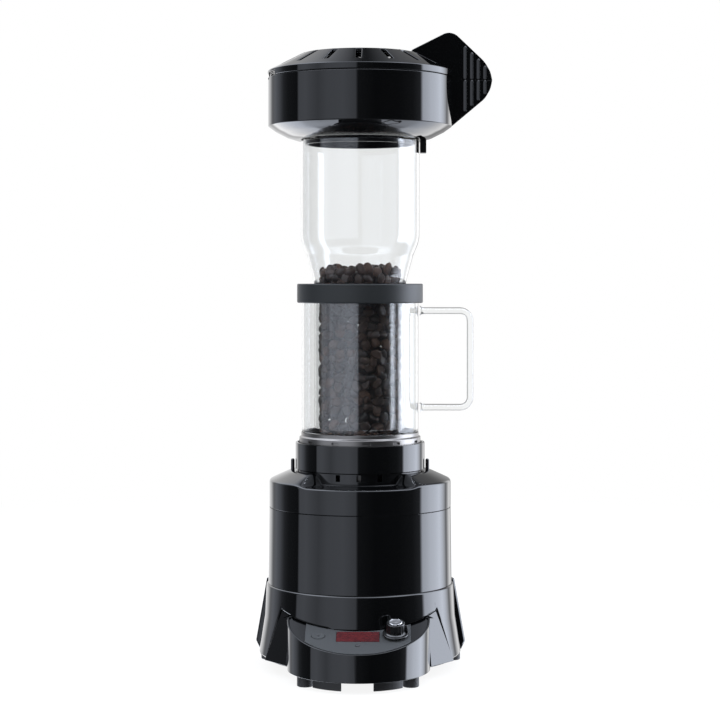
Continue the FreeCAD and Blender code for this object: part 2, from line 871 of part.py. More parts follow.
def panel_openings():
    """Everything that passes through the panel, as one tool standing on it."""
    return on_panel(group(
        panel_box("display_width + 0.4", "display_height + 0.4", "20", 0, "display_back", "-10"),
        cylinder("button_radius + fit_gap", "20", "-button_across", "-button_back", "-10"),
        cylinder("encoder_bush_radius + fit_gap", "20", "knob_across", 0, "-10"),
        cylinder("lens_radius + 0.1", "20", 0, "-lens_back", "-10"),
    ))


def board_post_spots():
    """Where the control board is screwed on, in the panel's own frame."""
    return [("%sboard_post_across" % side, back) for side in ("-", "")
            for back in ("board_post_back", "board_post_front")]


def panel_rim():
    """Raised bead along the pod's front edge, outside the skirt."""
    slab = on_panel(group(panel_box("4 * pod_radius", "4 * pod_radius", "rim_rise + 0.2", 0, 0, "-0.2")))
    band = common(slab, pod_drum("pod_radius", "pod_bottom"))
    return cut(band, pod_drum("pod_radius - rim_width", "pod_bottom - 1"), skirt_solid("(0 - fit_gap)"))


def control_pod():
    """D-shaped front housing with flared cheeks and a rim, under a sloping panel."""
    drum = pod_drum("pod_radius - plastic_wall", "pod_bottom - 1")
    under = box("4 * pod_radius", "4 * pod_radius", "pod_radius * 2", 0, 0, "-plastic_wall - pod_radius * 2")
    inside = common(drum, on_panel(group(under)))
    shell = cut(pod_space("0"), inside, skirt_solid("plastic_wall"))
    wing = wing_form("0", "plastic_wall", "0")
    bosses = [cylinder("boss_radius", "panel_mid_height + 20", across, back, "plate_top")
              for across, back in pod_boss_spots()]
    bosses = common(fuse(*bosses), pod_space("0"))
    posts = [cylinder("board_post_radius", "board_drop - plastic_wall + 0.1", across, back, "-board_drop")
             for across, back in board_post_spots()]
    solid = fuse(shell, wing, mirrored(wing), panel_rim(), bosses, on_panel(fuse(*posts)))
    bores = [cylinder("boss_bore", "18", across, back, "plate_top - 1") for across, back in pod_boss_spots()]
    post_bores = [cylinder("boss_bore", "board_screw_length", across, back, "-board_drop - 1")
                  for across, back in board_post_spots()]
    return named(cut(solid, panel_openings(), on_panel(group(*post_bores)), group(*bores)), "control_pod")


def panel_overlay():
    """Thin grey face of the panel, between the skirt and the pod's bright rim."""
    slab = on_panel(group(panel_box("2 * overlay_across", "2 * pod_radius", "overlay_thick", 0, 0, 0)))
    drum = pod_drum("pod_radius - overlay_inset", "pod_bottom")
    face = common(slab, drum)
    return named(cut(face, skirt_solid("(0 - fit_gap)"), panel_openings()), "panel_overlay")


def display_window():
    low = "overlay_thick + display_proud - display_thick"
    pane = panel_box("display_width", "display_height", "display_thick", 0, "display_back", low)
    return named(on_panel(group(pane)), "display_window")


def display_module():
    """Digit block that stands on the control board under the window."""
    height = "board_drop + overlay_thick + display_proud - display_thick - 0.2"
    block = panel_box("display_width - 1", "display_height - 3", height, 0, "display_back", "-board_drop")
    return named(on_panel(group(block)), "display_module")


def control_board():
    sheet = panel_box("board_width", "board_depth", "board_thick", 0, "board_back", "panel_board_low")
    drum = pod_drum("pod_radius - 4", "plate_top")
    board = common(on_panel(group(sheet)), drum)
    holes = [cylinder("screw_hole", "board_thick + 4", across, back, "panel_board_low - 2")
             for across, back in board_post_spots()]
    return named(cut(board, on_panel(group(*holes))), "control_board")


def encoder_body():
    """Rotary encoder can with its threaded bush through the panel."""
    can = panel_box("encoder_size", "encoder_size", "encoder_height", "knob_across", 0, "-board_drop")
    bush = cylinder("encoder_bush_radius", "board_drop - 0.4", "knob_across", 0, "-board_drop")
    bore = cylinder("encoder_shaft_radius + running_gap", "board_drop", "knob_across", 0, "0.8 - board_drop")
    return named(on_panel(cut(fuse(can, bush), bore)), "encoder_body")


def encoder_plunger():
    """Disc under the encoder shaft that carries the knob's push."""
    disc = cylinder("encoder_shaft_radius", "1.4", "knob_across", 0, "1 + knob_push - board_drop")
    return named(on_panel(group(disc)), "encoder_plunger")


def encoder_shaft():
    low = "2.6 + knob_push - board_drop"
    shaft = cylinder("encoder_shaft_radius", "knob_height - 1.6 - (%s)" % low, "knob_across", 0, low)
    return named(on_panel(group(shaft)), "encoder_shaft")


def control_knob():
    """Knob with a wide skirt, a pointer lug and a blind hole for the shaft."""
    skirt = cylinder("knob_skirt_radius", "knob_skirt_thick", "knob_across", 0, "knob_lift")
    barrel = cylinder("knob_radius", "knob_height - knob_lift", "knob_across", 0, "knob_lift")
    lug_middle = "knob_across + knob_radius + 0.6"
    lug = panel_box("3.4", "1.6", "knob_height - knob_lift - 2.5", lug_middle, 0, "knob_lift + 0.5")
    hole_depth = "knob_height - 1.6 - knob_lift"
    hole = cylinder("encoder_shaft_radius", hole_depth + " + 1", "knob_across", 0, "knob_lift - 1")
    return named(on_panel(cut(fuse(skirt, barrel, lug), hole)), "control_knob")


def knob_cap():
    cap = cylinder("knob_cap_radius", "knob_cap_thick", "knob_across", 0, "knob_height")
    return named(on_panel(group(cap)), "knob_cap")


def push_button():
    """Round key with a dished top, a flange under the panel and a stem to its switch."""
    cap = cylinder("button_radius", "plastic_wall + overlay_thick + button_proud + 1",
                   "-button_across", "-button_back", "-plastic_wall - 1")
    flange = cylinder("button_radius + 1.2", "0.9", "-button_across", "-button_back",
                      "-plastic_wall - fit_gap - 0.9")
    stem = cylinder("boss_bore", "board_drop - plastic_wall - 5", "-button_across", "-button_back",
                    "3.4 + button_travel + fit_gap - board_drop")
    dish = DOC.addObject("Part::Sphere", "Dish")
    bind(dish, "Radius", "button_radius * 3")
    place(dish, "-button_across", "-button_back", "button_radius * 3 + overlay_thick + button_proud - 0.6")
    return named(on_panel(cut(fuse(cap, flange, stem), dish)), "push_button")


def tact_switch():
    can = panel_box("6", "6", "3.4", "-button_across", "button_back", "-board_drop")
    return named(on_panel(group(can)), "tact_switch")


def status_lens():
    """Light pipe from the board's lamp to the panel's face."""
    pipe = cylinder("lens_radius", "board_drop + overlay_thick + 0.3", 0, "-lens_back", "-board_drop")
    return named(on_panel(group(pipe)), "status_lens")


# ---------------------------------------------------------------- blower and heater
def blower_housing():
    return lathe("blower_housing", [
        ("blower_inlet_radius", "skirt_top"),
        ("blower_flange_radius", "skirt_top"),
        ("blower_flange_radius", "skirt_top + blower_wall"),
        ("blower_radius", "skirt_top + blower_wall"),
        ("blower_radius", "blower_top + 1"),
        ("heater_radius + blower_wall + 0.1", "heater_bottom - 1"),
        ("heater_radius + blower_wall + 0.1", "heater_bottom + 4"),
        ("heater_radius + 0.1", "heater_bottom + 4"),
        ("heater_radius + 0.1", "heater_bottom - 2"),
        ("blower_radius - blower_wall", "blower_top"),
        ("blower_radius - blower_wall", "skirt_top + blower_wall"),
        ("blower_inlet_radius", "skirt_top + blower_wall"),
    ])


def fan_impeller():
    """Centrifugal fan: back plate and hub above, blades, and an inlet ring below."""
    body = new_body("fan_impeller")
    turned(body, [
        ("shaft_radius", "fan_low + 6"),
        ("shaft_radius * 3", "fan_low + 6"),
        ("shaft_radius * 3", "fan_plate"),
        ("fan_radius", "fan_plate"),
        ("fan_radius", "fan_high"),
        ("shaft_radius", "fan_high"),
    ])
    blade = pad(body, polygon(body, "XY_Plane", [
        ("blower_inlet_radius - 8", "-blade_thick / 2"),
        ("fan_radius - 0.5", "7 - blade_thick / 2"),
        ("fan_radius - 0.5", "7 + blade_thick / 2"),
        ("blower_inlet_radius - 8", "blade_thick / 2"),
    ], "fan_low"), "fan_plate - fan_low + 0.2")
    repeat(body, blade, "fan_blades")
    turned(body, rectangle("blower_inlet_radius + 2", "fan_radius", "fan_low - 1.2", "fan_low + 0.2"))
    return body


def motor_can():
    return lathe("motor_can", [
        ("motor_radius", "motor_low"),
        ("motor_radius", "motor_high"),
        ("shaft_radius + 1.5", "motor_high"),
        ("shaft_radius + 1.5", "motor_high - motor_wall"),
        ("bearing_radius + running_gap", "motor_high - motor_wall"),
        ("bearing_radius + running_gap", "motor_high - motor_wall - bearing_height"),
        ("bearing_radius + motor_wall", "motor_high - motor_wall - bearing_height"),
        ("bearing_radius + motor_wall", "motor_high - motor_wall - 0.2"),
        ("motor_radius - motor_wall", "motor_high - motor_wall - 0.2"),
        ("motor_radius - motor_wall", "motor_low"),
    ])


def motor_end_cap():
    return lathe("motor_end_cap", [
        ("shaft_radius + 1.5", "motor_low - 2"),
        ("motor_radius", "motor_low - 2"),
        ("motor_radius", "motor_low"),
        ("bearing_radius + motor_wall", "motor_low"),
        ("bearing_radius + motor_wall", "motor_low + bearing_height"),
        ("bearing_radius + running_gap", "motor_low + bearing_height"),
        ("bearing_radius + running_gap", "motor_low - 0.4"),
        ("shaft_radius + 1.5", "motor_low - 0.4"),
    ])


def motor_bearings():
    bore = "shaft_radius + running_gap"
    low = ring("bearing_radius", bore, "bearing_height", 0, 0, "motor_low - 0.4")
    high = ring("bearing_radius", bore, "bearing_height", 0, 0, "motor_high - motor_wall - bearing_height")
    return named(group(low, high), "motor_bearings")


def motor_magnets():
    """Two curved magnets against the can's wall."""
    magnets = []
    for first in ("-65", "115"):
        outer = cylinder("motor_radius - motor_wall", "24", 0, 0, "motor_low + 8")
        inner = cylinder("motor_radius - motor_wall - 3.2", "26", 0, 0, "motor_low + 7")
        bind(outer, "Angle", "130")
        turn(outer, Vector(0, 0, 1), first)
        magnets.append(cut(outer, inner))
    return named(group(*magnets), "motor_magnets")


def motor_spider():
    """Three-armed bracket that hangs the motor under the blower's floor."""
    thick = "skirt_top - motor_high"
    arms = []
    for degrees in around(lambda angle: angle, 3, SIZES["spider_first_turn"]):
        arm = box("spider_reach", "spider_arm", thick, "spider_reach / 2", 0, "motor_high")
        arms.append(turn(group(arm), Vector(0, 0, 1), degrees))
    hub = cylinder("motor_radius - 2", thick, 0, 0, "motor_high")
    hole = cylinder("shaft_radius + 3", "10", 0, 0, "motor_high - 1")
    return named(cut(fuse(hub, *arms), hole), "motor_spider")


def motor_shaft():
    return named(cylinder("shaft_radius", "fan_high + 8 - motor_low", 0, 0, "motor_low - 2"), "motor_shaft")


def rotor_core():
    """Slotted iron core on the motor shaft."""
    body = new_body("rotor_core")
    core_radius = "motor_radius - motor_wall - 4.2"
    turned(body, rectangle("shaft_radius", core_radius, "motor_low + 10", "motor_low + 30"))
    slot = pocket(body, polygon(body, "XY_Plane", [
        ("motor_radius - motor_wall - 12", "-1.5"),
        ("motor_radius", "-1.5"),
        ("motor_radius", "1.5"),
        ("motor_radius - motor_wall - 12", "1.5"),
    ], "motor_low + 31"), "22")
    repeat(body, slot, 10)
    return body


def impeller_nut():
    nut = DOC.addObject("Part::Prism", "Nut")
    nut.Polygon = 6
    bind(nut, "Circumradius", "shaft_radius * 1.9")
    bind(nut, "Height", "4")
    place(nut, 0, 0, "fan_high")
    return named(cut(nut, cylinder("shaft_radius", "8", 0, 0, "fan_high - 2")), "impeller_nut")


def heater_tube():
    height = "heater_top - heater_bottom"
    tube = ring("heater_radius", "heater_radius - heater_wall", height, 0, 0, "heater_bottom")
    return named(tube, "heater_tube")


def coil_rings(wire):
    """Heating wire as rings at three heights, around the middle of the tube."""
    rings = []
    for level in ("0.28", "0.5", "0.72"):
        for share in ("0.32", "0.57", "0.82"):
            coil = DOC.addObject("Part::Torus", "Coil")
            bind(coil, "Radius1", "heater_radius * %s" % share)
            bind(coil, "Radius2", wire)
            place(coil, 0, 0, "heater_bottom + (heater_top - heater_bottom) * %s" % level)
            rings.append(coil)
    return rings


def heater_coils():
    return named(group(*coil_rings("coil_wire_radius")), "heater_coils")


def heater_frame():
    """Crossed mica plates with notches that the wire passes through."""
    length = "2 * (heater_radius - heater_wall - 0.4)"
    height = "heater_top - heater_bottom - 6"
    along = box(length, "mica_thick", height, 0, 0, "heater_bottom + 3")
    across = box("mica_thick", length, height, 0, 0, "heater_bottom + 3")
    return named(cut(fuse(along, across), *coil_rings("coil_wire_radius + coil_gap")), "heater_frame")


def thermal_cutout():
    """Button thermostat against the heater tube, with its two tabs."""
    disc = backward("5.5", "5", "heater_radius + 0.1", "heater_bottom + 24")
    tabs = [box("1", "7", "4", across, "heater_radius + 8", "heater_bottom + 22") for across in ("-3", "3")]
    return named(fuse(disc, *tabs), "thermal_cutout")


# ---------------------------------------------------------------- electronics at the back
def power_board():
    sheet = box("power_width", "power_depth", "board_thick", 0, "power_back", "power_height")
    holes = [cylinder("boss_bore + 0.2", "board_thick + 2", across, back, "power_height - 1")
             for across, back in board_spots()]
    return named(cut(sheet, group(*holes)), "power_board")


def power_parts():
    """Transformer, two capacitors and a relay, standing on the board."""
    top = "power_height + board_thick"
    return named(group(
        box("20", "16", "15", "-11", "power_back + 3", top),
        cylinder("5", "18", "5", "power_back + 6", top),
        cylinder("4", "14", "5", "power_back - 5", top),
        box("12", "8", "10", "-13", "power_back - 10", top),
    ), "power_parts")


def heat_sink():
    """Finned aluminium block for the heater's switch."""
    top = "power_height + board_thick"
    fins = [box("7", "1.2", "20", "18", "power_back + %d" % shift, top) for shift in (-7, -3, 1, 5)]
    return named(fuse(box("2", "16", "20", "14", "power_back - 1", top), *fins), "heat_sink")


def cord_gland():
    """Strain-relief bush in the rear cover, bored for the mains lead."""
    flange = backward("gland_radius", "gland_flange", "gland_seat", "gland_height")
    barrel = backward("gland_hole - 0.2", "gland_length", "gland_seat + gland_flange - gland_length",
                      "gland_height")
    bore = backward("gland_bore", "40", "skirt_top_radius", "gland_height")
    return named(cut(fuse(flange, barrel), bore), "cord_gland")


# ---------------------------------------------------------------- fasteners of the base
def screw(across, back, head_low, length):
    """Screw driven upwards: its head is below its shank."""
    head = cylinder("screw_head_radius", "screw_head", across, back, head_low)
    shank = cylinder("screw_radius", length, across, back, "%s + screw_head" % head_low)
    slot = box("screw_head_radius * 1.2", "0.7", "1.6", across, back, "%s - 0.8" % head_low)
    return cut(fuse(head, shank), slot)


def housing_screws():
    """Screws up through the bottom plate and up through the skirt's flange."""
    low = [screw(across, back, "plate_bottom - screw_head", "14")
           for across, back in skirt_boss_spots() + pod_boss_spots()]
    high = [screw(across, back, "flange_floor - screw_head", "12") for across, back in shell_boss_spots()]
    return named(group(*low, *high), "housing_screws")


def down_screw(across, back, top, length):
    """Screw driven downwards: its head is above its shank."""
    head = cylinder("screw_head_radius", "screw_head", across, back, top)
    shank = cylinder("screw_radius", length, across, back, "%s - %s" % (top, length))
    slot = box("screw_head_radius * 1.2", "0.7", "1.6", across, back, "%s + screw_head - 0.8" % top)
    return cut(fuse(head, shank), slot)


def board_screws():
    """Four screws down through the power board, and four up through the control board."""
    power = [down_screw(across, back, "power_height + board_thick", "board_screw_length")
             for across, back in board_spots()]
    control = [screw(across, back, "(panel_board_low - screw_head)", "board_screw_length")
               for across, back in board_post_spots()]
    return named(group(*power, on_panel(group(*control))), "board_screws")


# ---------------------------------------------------------------- roast chamber
def chamber_glass():
    """Open glass cylinder whose narrower foot stands in the steel ring."""
    return lathe("chamber_glass", [
        ("chamber_inner", "chamber_rim"),
        ("chamber_radius", "chamber_rim"),
        ("chamber_radius", "chamber_foot"),
        ("neck_glass_radius", "chamber_foot"),
        ("neck_glass_radius", "glass_bottom"),
        ("neck_glass_inner", "glass_bottom"),
        ("neck_glass_inner", "chamber_foot"),
        ("chamber_inner", "chamber_foot + 2"),
    ])


def glass_handle():
    """Bent glass rod, welded to the chamber at both ends."""
    body = new_body("glass_handle")
    profile = circle(body, "YZ_Plane", 0, "rod_low", "rod_radius", "chamber_radius")
    spine = new_sketch(body, "XZ_Plane")
    corner = "rod_reach - rod_bend"
    runs = [
        [("chamber_radius", "rod_low"), (corner, "rod_low")],
        [("rod_reach", "rod_low + rod_bend"), ("rod_reach", "rod_high - rod_bend")],
        [(corner, "rod_high"), ("chamber_radius", "rod_high")],
    ]
    for start, end in runs:
        sketch_line(spine, start, end)
    reach = number("rod_reach")
    bend = number("rod_bend")
    low_bend = (number("rod_low") + bend, -90, (0, 1))
    high_bend = (number("rod_high") - bend, 0, (1, 2))
    for low, turn_from, ends in (low_bend, high_bend):
        centre = Vector(reach - bend, low, 0)
        arc = Part.ArcOfCircle(Part.Circle(centre, Vector(0, 0, 1), bend),
                               math.radians(turn_from), math.radians(turn_from + 90))
        edge = spine.addGeometry(arc)
        spine.addConstraint(Sketcher.Constraint("Coincident", ends[0], 2, edge, 1))
        spine.addConstraint(Sketcher.Constraint("Coincident", edge, 2, ends[1], 1))
        spot = spine.addConstraint(Sketcher.Constraint("Radius", edge, bend))
        bind(spine, "Constraints[%d]" % spot, "rod_bend")
    rod = body.newObject("PartDesign::AdditivePipe", "Rod")
    rod.Profile = profile
    rod.Spine = (spine, [])
    body.Tip = rod
    return body


def sketch_line(sketch, start, end):
    """Line with both ends dimensioned from the origin."""
    edge = sketch.addGeometry(Part.LineSegment(Vector(number(start[0]), number(start[1]), 0),
                                               Vector(number(end[0]), number(end[1]), 0)))
    for corner, spot in ((1, start), (2, end)):
        dimension(sketch, "DistanceX", edge, corner, spot[0])
        dimension(sketch, "DistanceY", edge, corner, spot[1])
    return edge


def chamber_base_ring():
    """Brushed steel ring under the glass, with air slots and a floor for the diffuser."""
    body = DOC.addObject("PartDesign::Body", "BaseRing")
    turned(body, [
        ("seat_inner - 3", "ring_bottom"),
        ("ring_radius", "ring_bottom"),
        ("ring_radius", "ring_break"),
        ("ring_neck_radius", "ring_break + 1.2"),
        ("ring_neck_radius", "chamber_foot - 0.1"),
        ("ring_neck_radius - ring_wall", "chamber_foot - 0.1"),
        ("ring_neck_radius - ring_wall", "ring_break + 0.4"),
        ("ring_neck_radius - ring_wall", "ring_floor"),
        ("seat_inner - 3", "ring_floor"),
    ])
    slots = []
    for degrees in around(lambda angle: angle, SIZES["ring_slots"] / 2, SIZES["ring_first_turn"], 180.0):
        slot = box("2 * ring_radius + 6", "6", "1.6", 0, 0, "ring_break - 3.4")
        slots.append(turn(group(slot), Vector(0, 0, 1), degrees))
    outer_band = ring("ring_radius + 1", "ring_radius - 1.6", "4", 0, 0, "ring_break - 4.6")
    grooves = common(fuse(*slots), outer_band)
    return named(cut(body, grooves), "chamber_base_ring")


def diffuser_plate():
    """Slotted steel disc that spins the hot air into the beans."""
    body = new_body("diffuser_plate")
    turned(body, [
        (0, "ring_floor"),
        ("neck_glass_inner - 0.5", "ring_floor"),
        ("neck_glass_inner - 0.5", "ring_floor + diffuser_thick"),
        (0, "ring_floor + diffuser_thick"),
    ])
    slot = pocket(body, polygon(body, "XY_Plane", [
        ("heater_radius * 0.45", "-0.7"),
        ("heater_radius * 0.9", "1.2"),
        ("heater_radius * 0.9", "2.6"),
        ("heater_radius * 0.45", "0.7"),
    ], "ring_floor + 5"), "10")
    repeat(body, slot, "diffuser_slots")
    return body


def chamber_gasket():
    return lathe("chamber_gasket", rectangle(
        "neck_glass_inner", "ring_neck_radius - ring_wall - 0.2", "ring_floor", "glass_bottom"))


# ---------------------------------------------------------------- extension tube
def extension_glass():
    """Wide tube that necks down to a long stem inside the chamber."""
    outer = [
        ("tube_radius", "tube_top"),
        ("tube_radius", "shoulder_top"),
        ("shoulder_mid_radius", "shoulder_mid"),
        ("shoulder_low_radius", "shoulder_low"),
        ("stem_radius", "stem_top"),
        ("stem_radius", "stem_bottom"),
    ]
    inner = [("%s - tube_wall" % radius, height) for radius, height in outer]
    return lathe("extension_glass", outer + inner[::-1])


def silicone_collar():
    """Soft collar that grips the stem and caps the chamber's rim."""
    return lathe("silicone_collar", [
        ("chamber_radius + fit_gap", "grip_bottom"),
        ("grip_radius", "grip_bottom"),
        ("grip_radius", "grip_top"),
        ("stem_radius", "grip_top"),
        ("stem_radius", "chamber_rim + fit_gap"),
        ("chamber_radius + fit_gap", "chamber_rim + fit_gap"),
    ])


# ---------------------------------------------------------------- chaff collector
def tangent_bar(radius, start, end):
    """Round bar along the hinge line, from one end to the other."""
    bar = turn(cylinder(radius, "(%s) - (%s)" % (end, start)), Vector(1, 0, 0), "-90")
    return place(bar, "hinge_radius", start, "hinge_height")


def at_hinge(*solids):
    return turn(group(*solids), Vector(0, 0, 1), "handle_azimuth + 180")


def handle_screw_heights():
    return ("handle_foot + 9", "handle_foot + 24")


def handle_bores(heights, radius, start, length):
    return [outward(radius, length, start, height, "handle_azimuth") for height in heights]


def collector_bowl():
    """Dished bowl with a spigot into the tube, half of the hinge and a rim for the lid."""
    body = DOC.addObject("PartDesign::Body", "Bowl")
    turned(body, [
        ("spigot_inner", "spigot_bottom"),
        ("spigot_radius", "spigot_bottom"),
        ("spigot_radius", "spigot_top"),
        ("flange_radius", "spigot_top"),
        ("dish_radius", "dish_height"),
        ("dish_rise_radius", "dish_rise_height"),
        ("collector_radius", "dish_edge_height"),
        ("collector_radius", "collector_seam"),
        ("bowl_inner", "collector_seam"),
        ("bowl_inner", "dish_edge_height + 1.2"),
        ("dish_rise_radius - 1", "dish_rise_height + 2"),
        ("dish_radius - 0.6", "bowl_floor"),
        ("flange_radius - 0.4", "spigot_top + collector_wall"),
        ("spigot_inner", "spigot_top + collector_wall"),
    ])
    barrels = at_hinge(tangent_bar("knuckle_radius", "-hinge_half", "hinge_half"))
    pocket_for_lid = box("6", "2 * (knuckle_half + fit_gap)", "8", "hinge_radius", 0,
                         "hinge_height - knuckle_radius - 0.35")
    bore = tangent_bar("hinge_pin_radius", "-hinge_half - 1", "hinge_half + 1")
    holes = handle_bores(handle_screw_heights(), "screw_radius", "bowl_inner - 2", "6")
    solid = cut(fuse(body, barrels), at_hinge(pocket_for_lid), at_hinge(bore), *holes)
    return named(solid, "collector_bowl")


def chaff_chimney():
    """Riser that lifts the air above the chaff left in the bowl."""
    floor = "spigot_top + collector_wall"
    return lathe("chaff_chimney", [
        ("chimney_radius - chimney_wall", floor),
        ("flange_radius - 3", floor),
        ("flange_radius - 3", floor + " + chimney_wall"),
        ("chimney_radius", floor + " + chimney_wall"),
        ("chimney_radius", "chimney_top"),
        ("chimney_radius - chimney_wall", "chimney_top"),
    ])


def glass_clip():
    """Hook under the bowl that hangs outside the tube's rim."""
    body = new_body("glass_clip")
    near = "tube_radius + 0.4"
    far = "tube_radius + 5.5"
    dish_slope = "(dish_height - spigot_top) / (dish_radius - flange_radius)"
    pad(body, polygon(body, "XZ_Plane", [
        (near, "spigot_top - 10"),
        (far, "spigot_top - 10"),
        (far, "spigot_top + (tube_radius + 5.5 - flange_radius) * " + dish_slope),
        ("flange_radius", "spigot_top"),
        (near, "spigot_top"),
    ]), "clip_width", True)
    return body


def hinge_pin():
    return named(at_hinge(tangent_bar("hinge_pin_radius", "-hinge_half", "hinge_half")), "hinge_pin")


def grip_ribs(inset):
    """Upright ribs on both faces of the handle plate, inside an inset of its outline."""
    body = DOC.addObject("PartDesign::Body", "RibField")
    pad(body, polygon(body, "XZ_Plane", inset), "handle_thick + 2 * grip_rib_proud", True)
    bars = [box("grip_rib_width", "3 * handle_thick", "handle_apex - handle_foot",
                "grip_rib_first + %d * grip_rib_pitch" % index, 0, "handle_foot") for index in range(4)]
    return common(fuse(*bars), body)


def handle_plate(outline, inset, bores):
    """Flat plate that stands out from the collector at the handle's azimuth."""
    body = DOC.addObject("PartDesign::Body", "Plate")
    pad(body, polygon(body, "XZ_Plane", outline), "handle_thick", True)
    standing = turn(group(fuse(body, grip_ribs(inset))), Vector(0, 0, 1), "handle_azimuth")
    return cut(standing, *bores)


def bowl_handle():
    """Lower half of the handle."""
    outline = [
        ("collector_radius", "split_low"),
        ("collector_radius", "handle_foot"),
        ("handle_foot_reach", "handle_foot"),
        ("handle_elbow_reach", "handle_elbow"),
        ("handle_tip_reach", "split_low - handle_tip_rise"),
        ("handle_reach", "split_low"),
    ]
    inset = [
        ("collector_radius + grip_rib_margin", "split_low"),
        ("collector_radius + grip_rib_margin", "handle_foot + grip_rib_margin"),
        ("handle_foot_reach + grip_rib_margin", "handle_foot + 1.5 * grip_rib_margin"),
        ("handle_elbow_reach", "handle_elbow + grip_rib_margin"),
        ("handle_tip_reach", "split_low - handle_tip_rise + grip_rib_margin"),
        ("handle_tip_reach", "split_low"),
    ]
    bores = handle_bores(handle_screw_heights(), "screw_radius", "collector_radius - 1", "10")
    return named(handle_plate(outline, inset, bores), "bowl_handle")


def along_handle(reach):
    """The place on the handle's centre line at a reach from the axis."""
    return "%s * cos(handle_azimuth * 1 deg)" % reach, "%s * sin(handle_azimuth * 1 deg)" % reach


def under_lid(reach):
    """Height of the lid's inner cone at a reach from the axis."""
    fall = "(lid_top - collector_wall - lid_shoulder + 0.1) / (lid_lip - 2 - lid_flat_radius + 0.5)"
    return "lid_shoulder - 0.1 + (lid_lip - 2 - (%s)) * %s" % (reach, fall)


def lid_handle_bores():
    bores = []
    for reach in ("lid_screw_near", "lid_screw_far"):
        across, back = along_handle(reach)
        bores.append(cylinder("screw_radius", "lid_screw_length + 1", across, back,
                              under_lid(reach + " + screw_head_radius")))
    return bores


def lid_handle():
    """Upper half of the handle, which runs on over the lid's cone."""
    outline = [
        ("lid_radius", "split_high"),
        ("handle_reach", "split_high"),
        ("handle_tip_reach", "split_high + handle_tip_rise"),
        ("handle_shoulder_reach", "handle_shoulder"),
        ("handle_fall_reach", "handle_apex - 2.3"),
        ("handle_apex_reach", "handle_apex"),
        ("handle_rise_reach", "handle_apex - 1.9"),
        ("handle_root", "lid_top + 4.2"),
        ("handle_root", "lid_top"),
        ("lid_flat_radius", "lid_top"),
        ("lid_radius", "lid_shoulder"),
    ]
    inset = [
        ("lid_radius + grip_rib_margin", "split_high"),
        ("handle_tip_reach", "split_high"),
        ("handle_tip_reach", "split_high + handle_tip_rise - grip_rib_margin"),
        ("handle_shoulder_reach", "handle_shoulder - grip_rib_margin"),
        ("handle_fall_reach", "handle_apex - 2.3 - grip_rib_margin"),
        ("lid_radius + grip_rib_margin", "handle_apex - 2.3 - grip_rib_margin"),
    ]
    return named(handle_plate(outline, inset, lid_handle_bores()), "lid_handle")


def bowl_screws():
    """Screws driven outwards from inside the bowl's wall into the lower handle."""
    wall = "bowl_inner - 0.1"
    screws = []
    for height in handle_screw_heights():
        head = outward("screw_head_radius", "screw_head", wall + " - screw_head", height, "handle_azimuth")
        shank = outward("screw_radius", "11", wall, height, "handle_azimuth")
        screws.append(fuse(head, shank))
    return named(group(*screws), "bowl_screws")


def retainer_spots():
    reach = "(screen_radius - 3.6)"
    spots = []
    for degrees in (55, 145, 235, 325):
        spots.append(("%s * cos(%d deg)" % (reach, degrees), "%s * sin(%d deg)" % (reach, degrees)))
    return spots


def lid_cone():
    """Everything under the lid's inner cone."""
    rise = "(lid_top - lid_shoulder)"
    low = cone("lid_radius - 2", "lid_flat_radius - 2", rise, "lid_shoulder")
    return fuse(low, cylinder("lid_radius - 2", "8", 0, 0, "lid_shoulder - 8"))


def collector_lid():
    """Conical lid with radial slots, a lip inside the bowl, and the hinge's middle barrel."""
    body = DOC.addObject("PartDesign::Body", "Lid")
    turned(body, [
        (0, "lid_top"),
        ("lid_flat_radius", "lid_top"),
        ("lid_radius", "lid_shoulder"),
        ("lid_radius", "lid_bottom"),
        ("lid_lip", "lid_bottom"),
        ("lid_lip", "lid_bottom - lip_depth"),
        ("lid_lip - 2", "lid_bottom - lip_depth"),
        ("lid_lip - 2", "lid_shoulder - 0.1"),
        ("lid_flat_radius - 0.5", "lid_top - collector_wall"),
        (0, "lid_top - collector_wall"),
    ])
    slot = pocket(body, polygon(body, "XY_Plane", [
        ("-lid_slot_width / 2", "-lid_slot_far"),
        ("lid_slot_width / 2", "-lid_slot_far"),
        ("lid_slot_width / 2", "-lid_slot_near"),
        ("-lid_slot_width / 2", "-lid_slot_near"),
    ], "lid_top + 5"), "lid_top + 5 - lid_bottom - 2")
    repeat(body, slot, "lid_slots")
    bosses = [cylinder("screw_head_radius", "14", across, back, "screen_height + 0.7")
              for across, back in retainer_spots()]
    bosses = common(fuse(*bosses), lid_cone())
    knuckle = at_hinge(tangent_bar("knuckle_radius", "-knuckle_half", "knuckle_half"))
    top = "hinge_height + hinge_relief_rise"
    relief = "hinge_height - 0.2"
    outer_relief = box("8", "2 * hinge_relief_half", "%s - (%s)" % (top, relief),
                       "hinge_radius + 3.4", 0, relief)
    barrels = [box("12", "hinge_half - knuckle_half + 0.4", "%s - (lid_bottom - lip_depth - 1)" % top,
                   "hinge_radius + 3.8", "%s(hinge_half + knuckle_half) / 2 %s 0.2" % (side, sign),
                   "lid_bottom - lip_depth - 1") for side, sign in (("", "+"), ("-", "-"))]
    shell = cut(body, at_hinge(outer_relief, *barrels))
    bore = at_hinge(tangent_bar("hinge_pin_radius + running_gap", "-hinge_half", "hinge_half"))
    drills = [cylinder("boss_bore", "4", across, back, "screen_height") for across, back in retainer_spots()]
    solid = cut(fuse(shell, knuckle, bosses), bore, *lid_handle_bores(), group(*drills))
    return named(solid, "collector_lid")


def filter_screen():
    """Fine mesh disc that keeps chaff in the collector."""
    disc = cylinder("screen_radius", "0.6", 0, 0, "screen_height")
    holes = [cylinder("screw_hole", "3", across, back, "screen_height - 1")
             for across, back in retainer_spots()]
    return named(cut(disc, group(*holes)), "filter_screen")


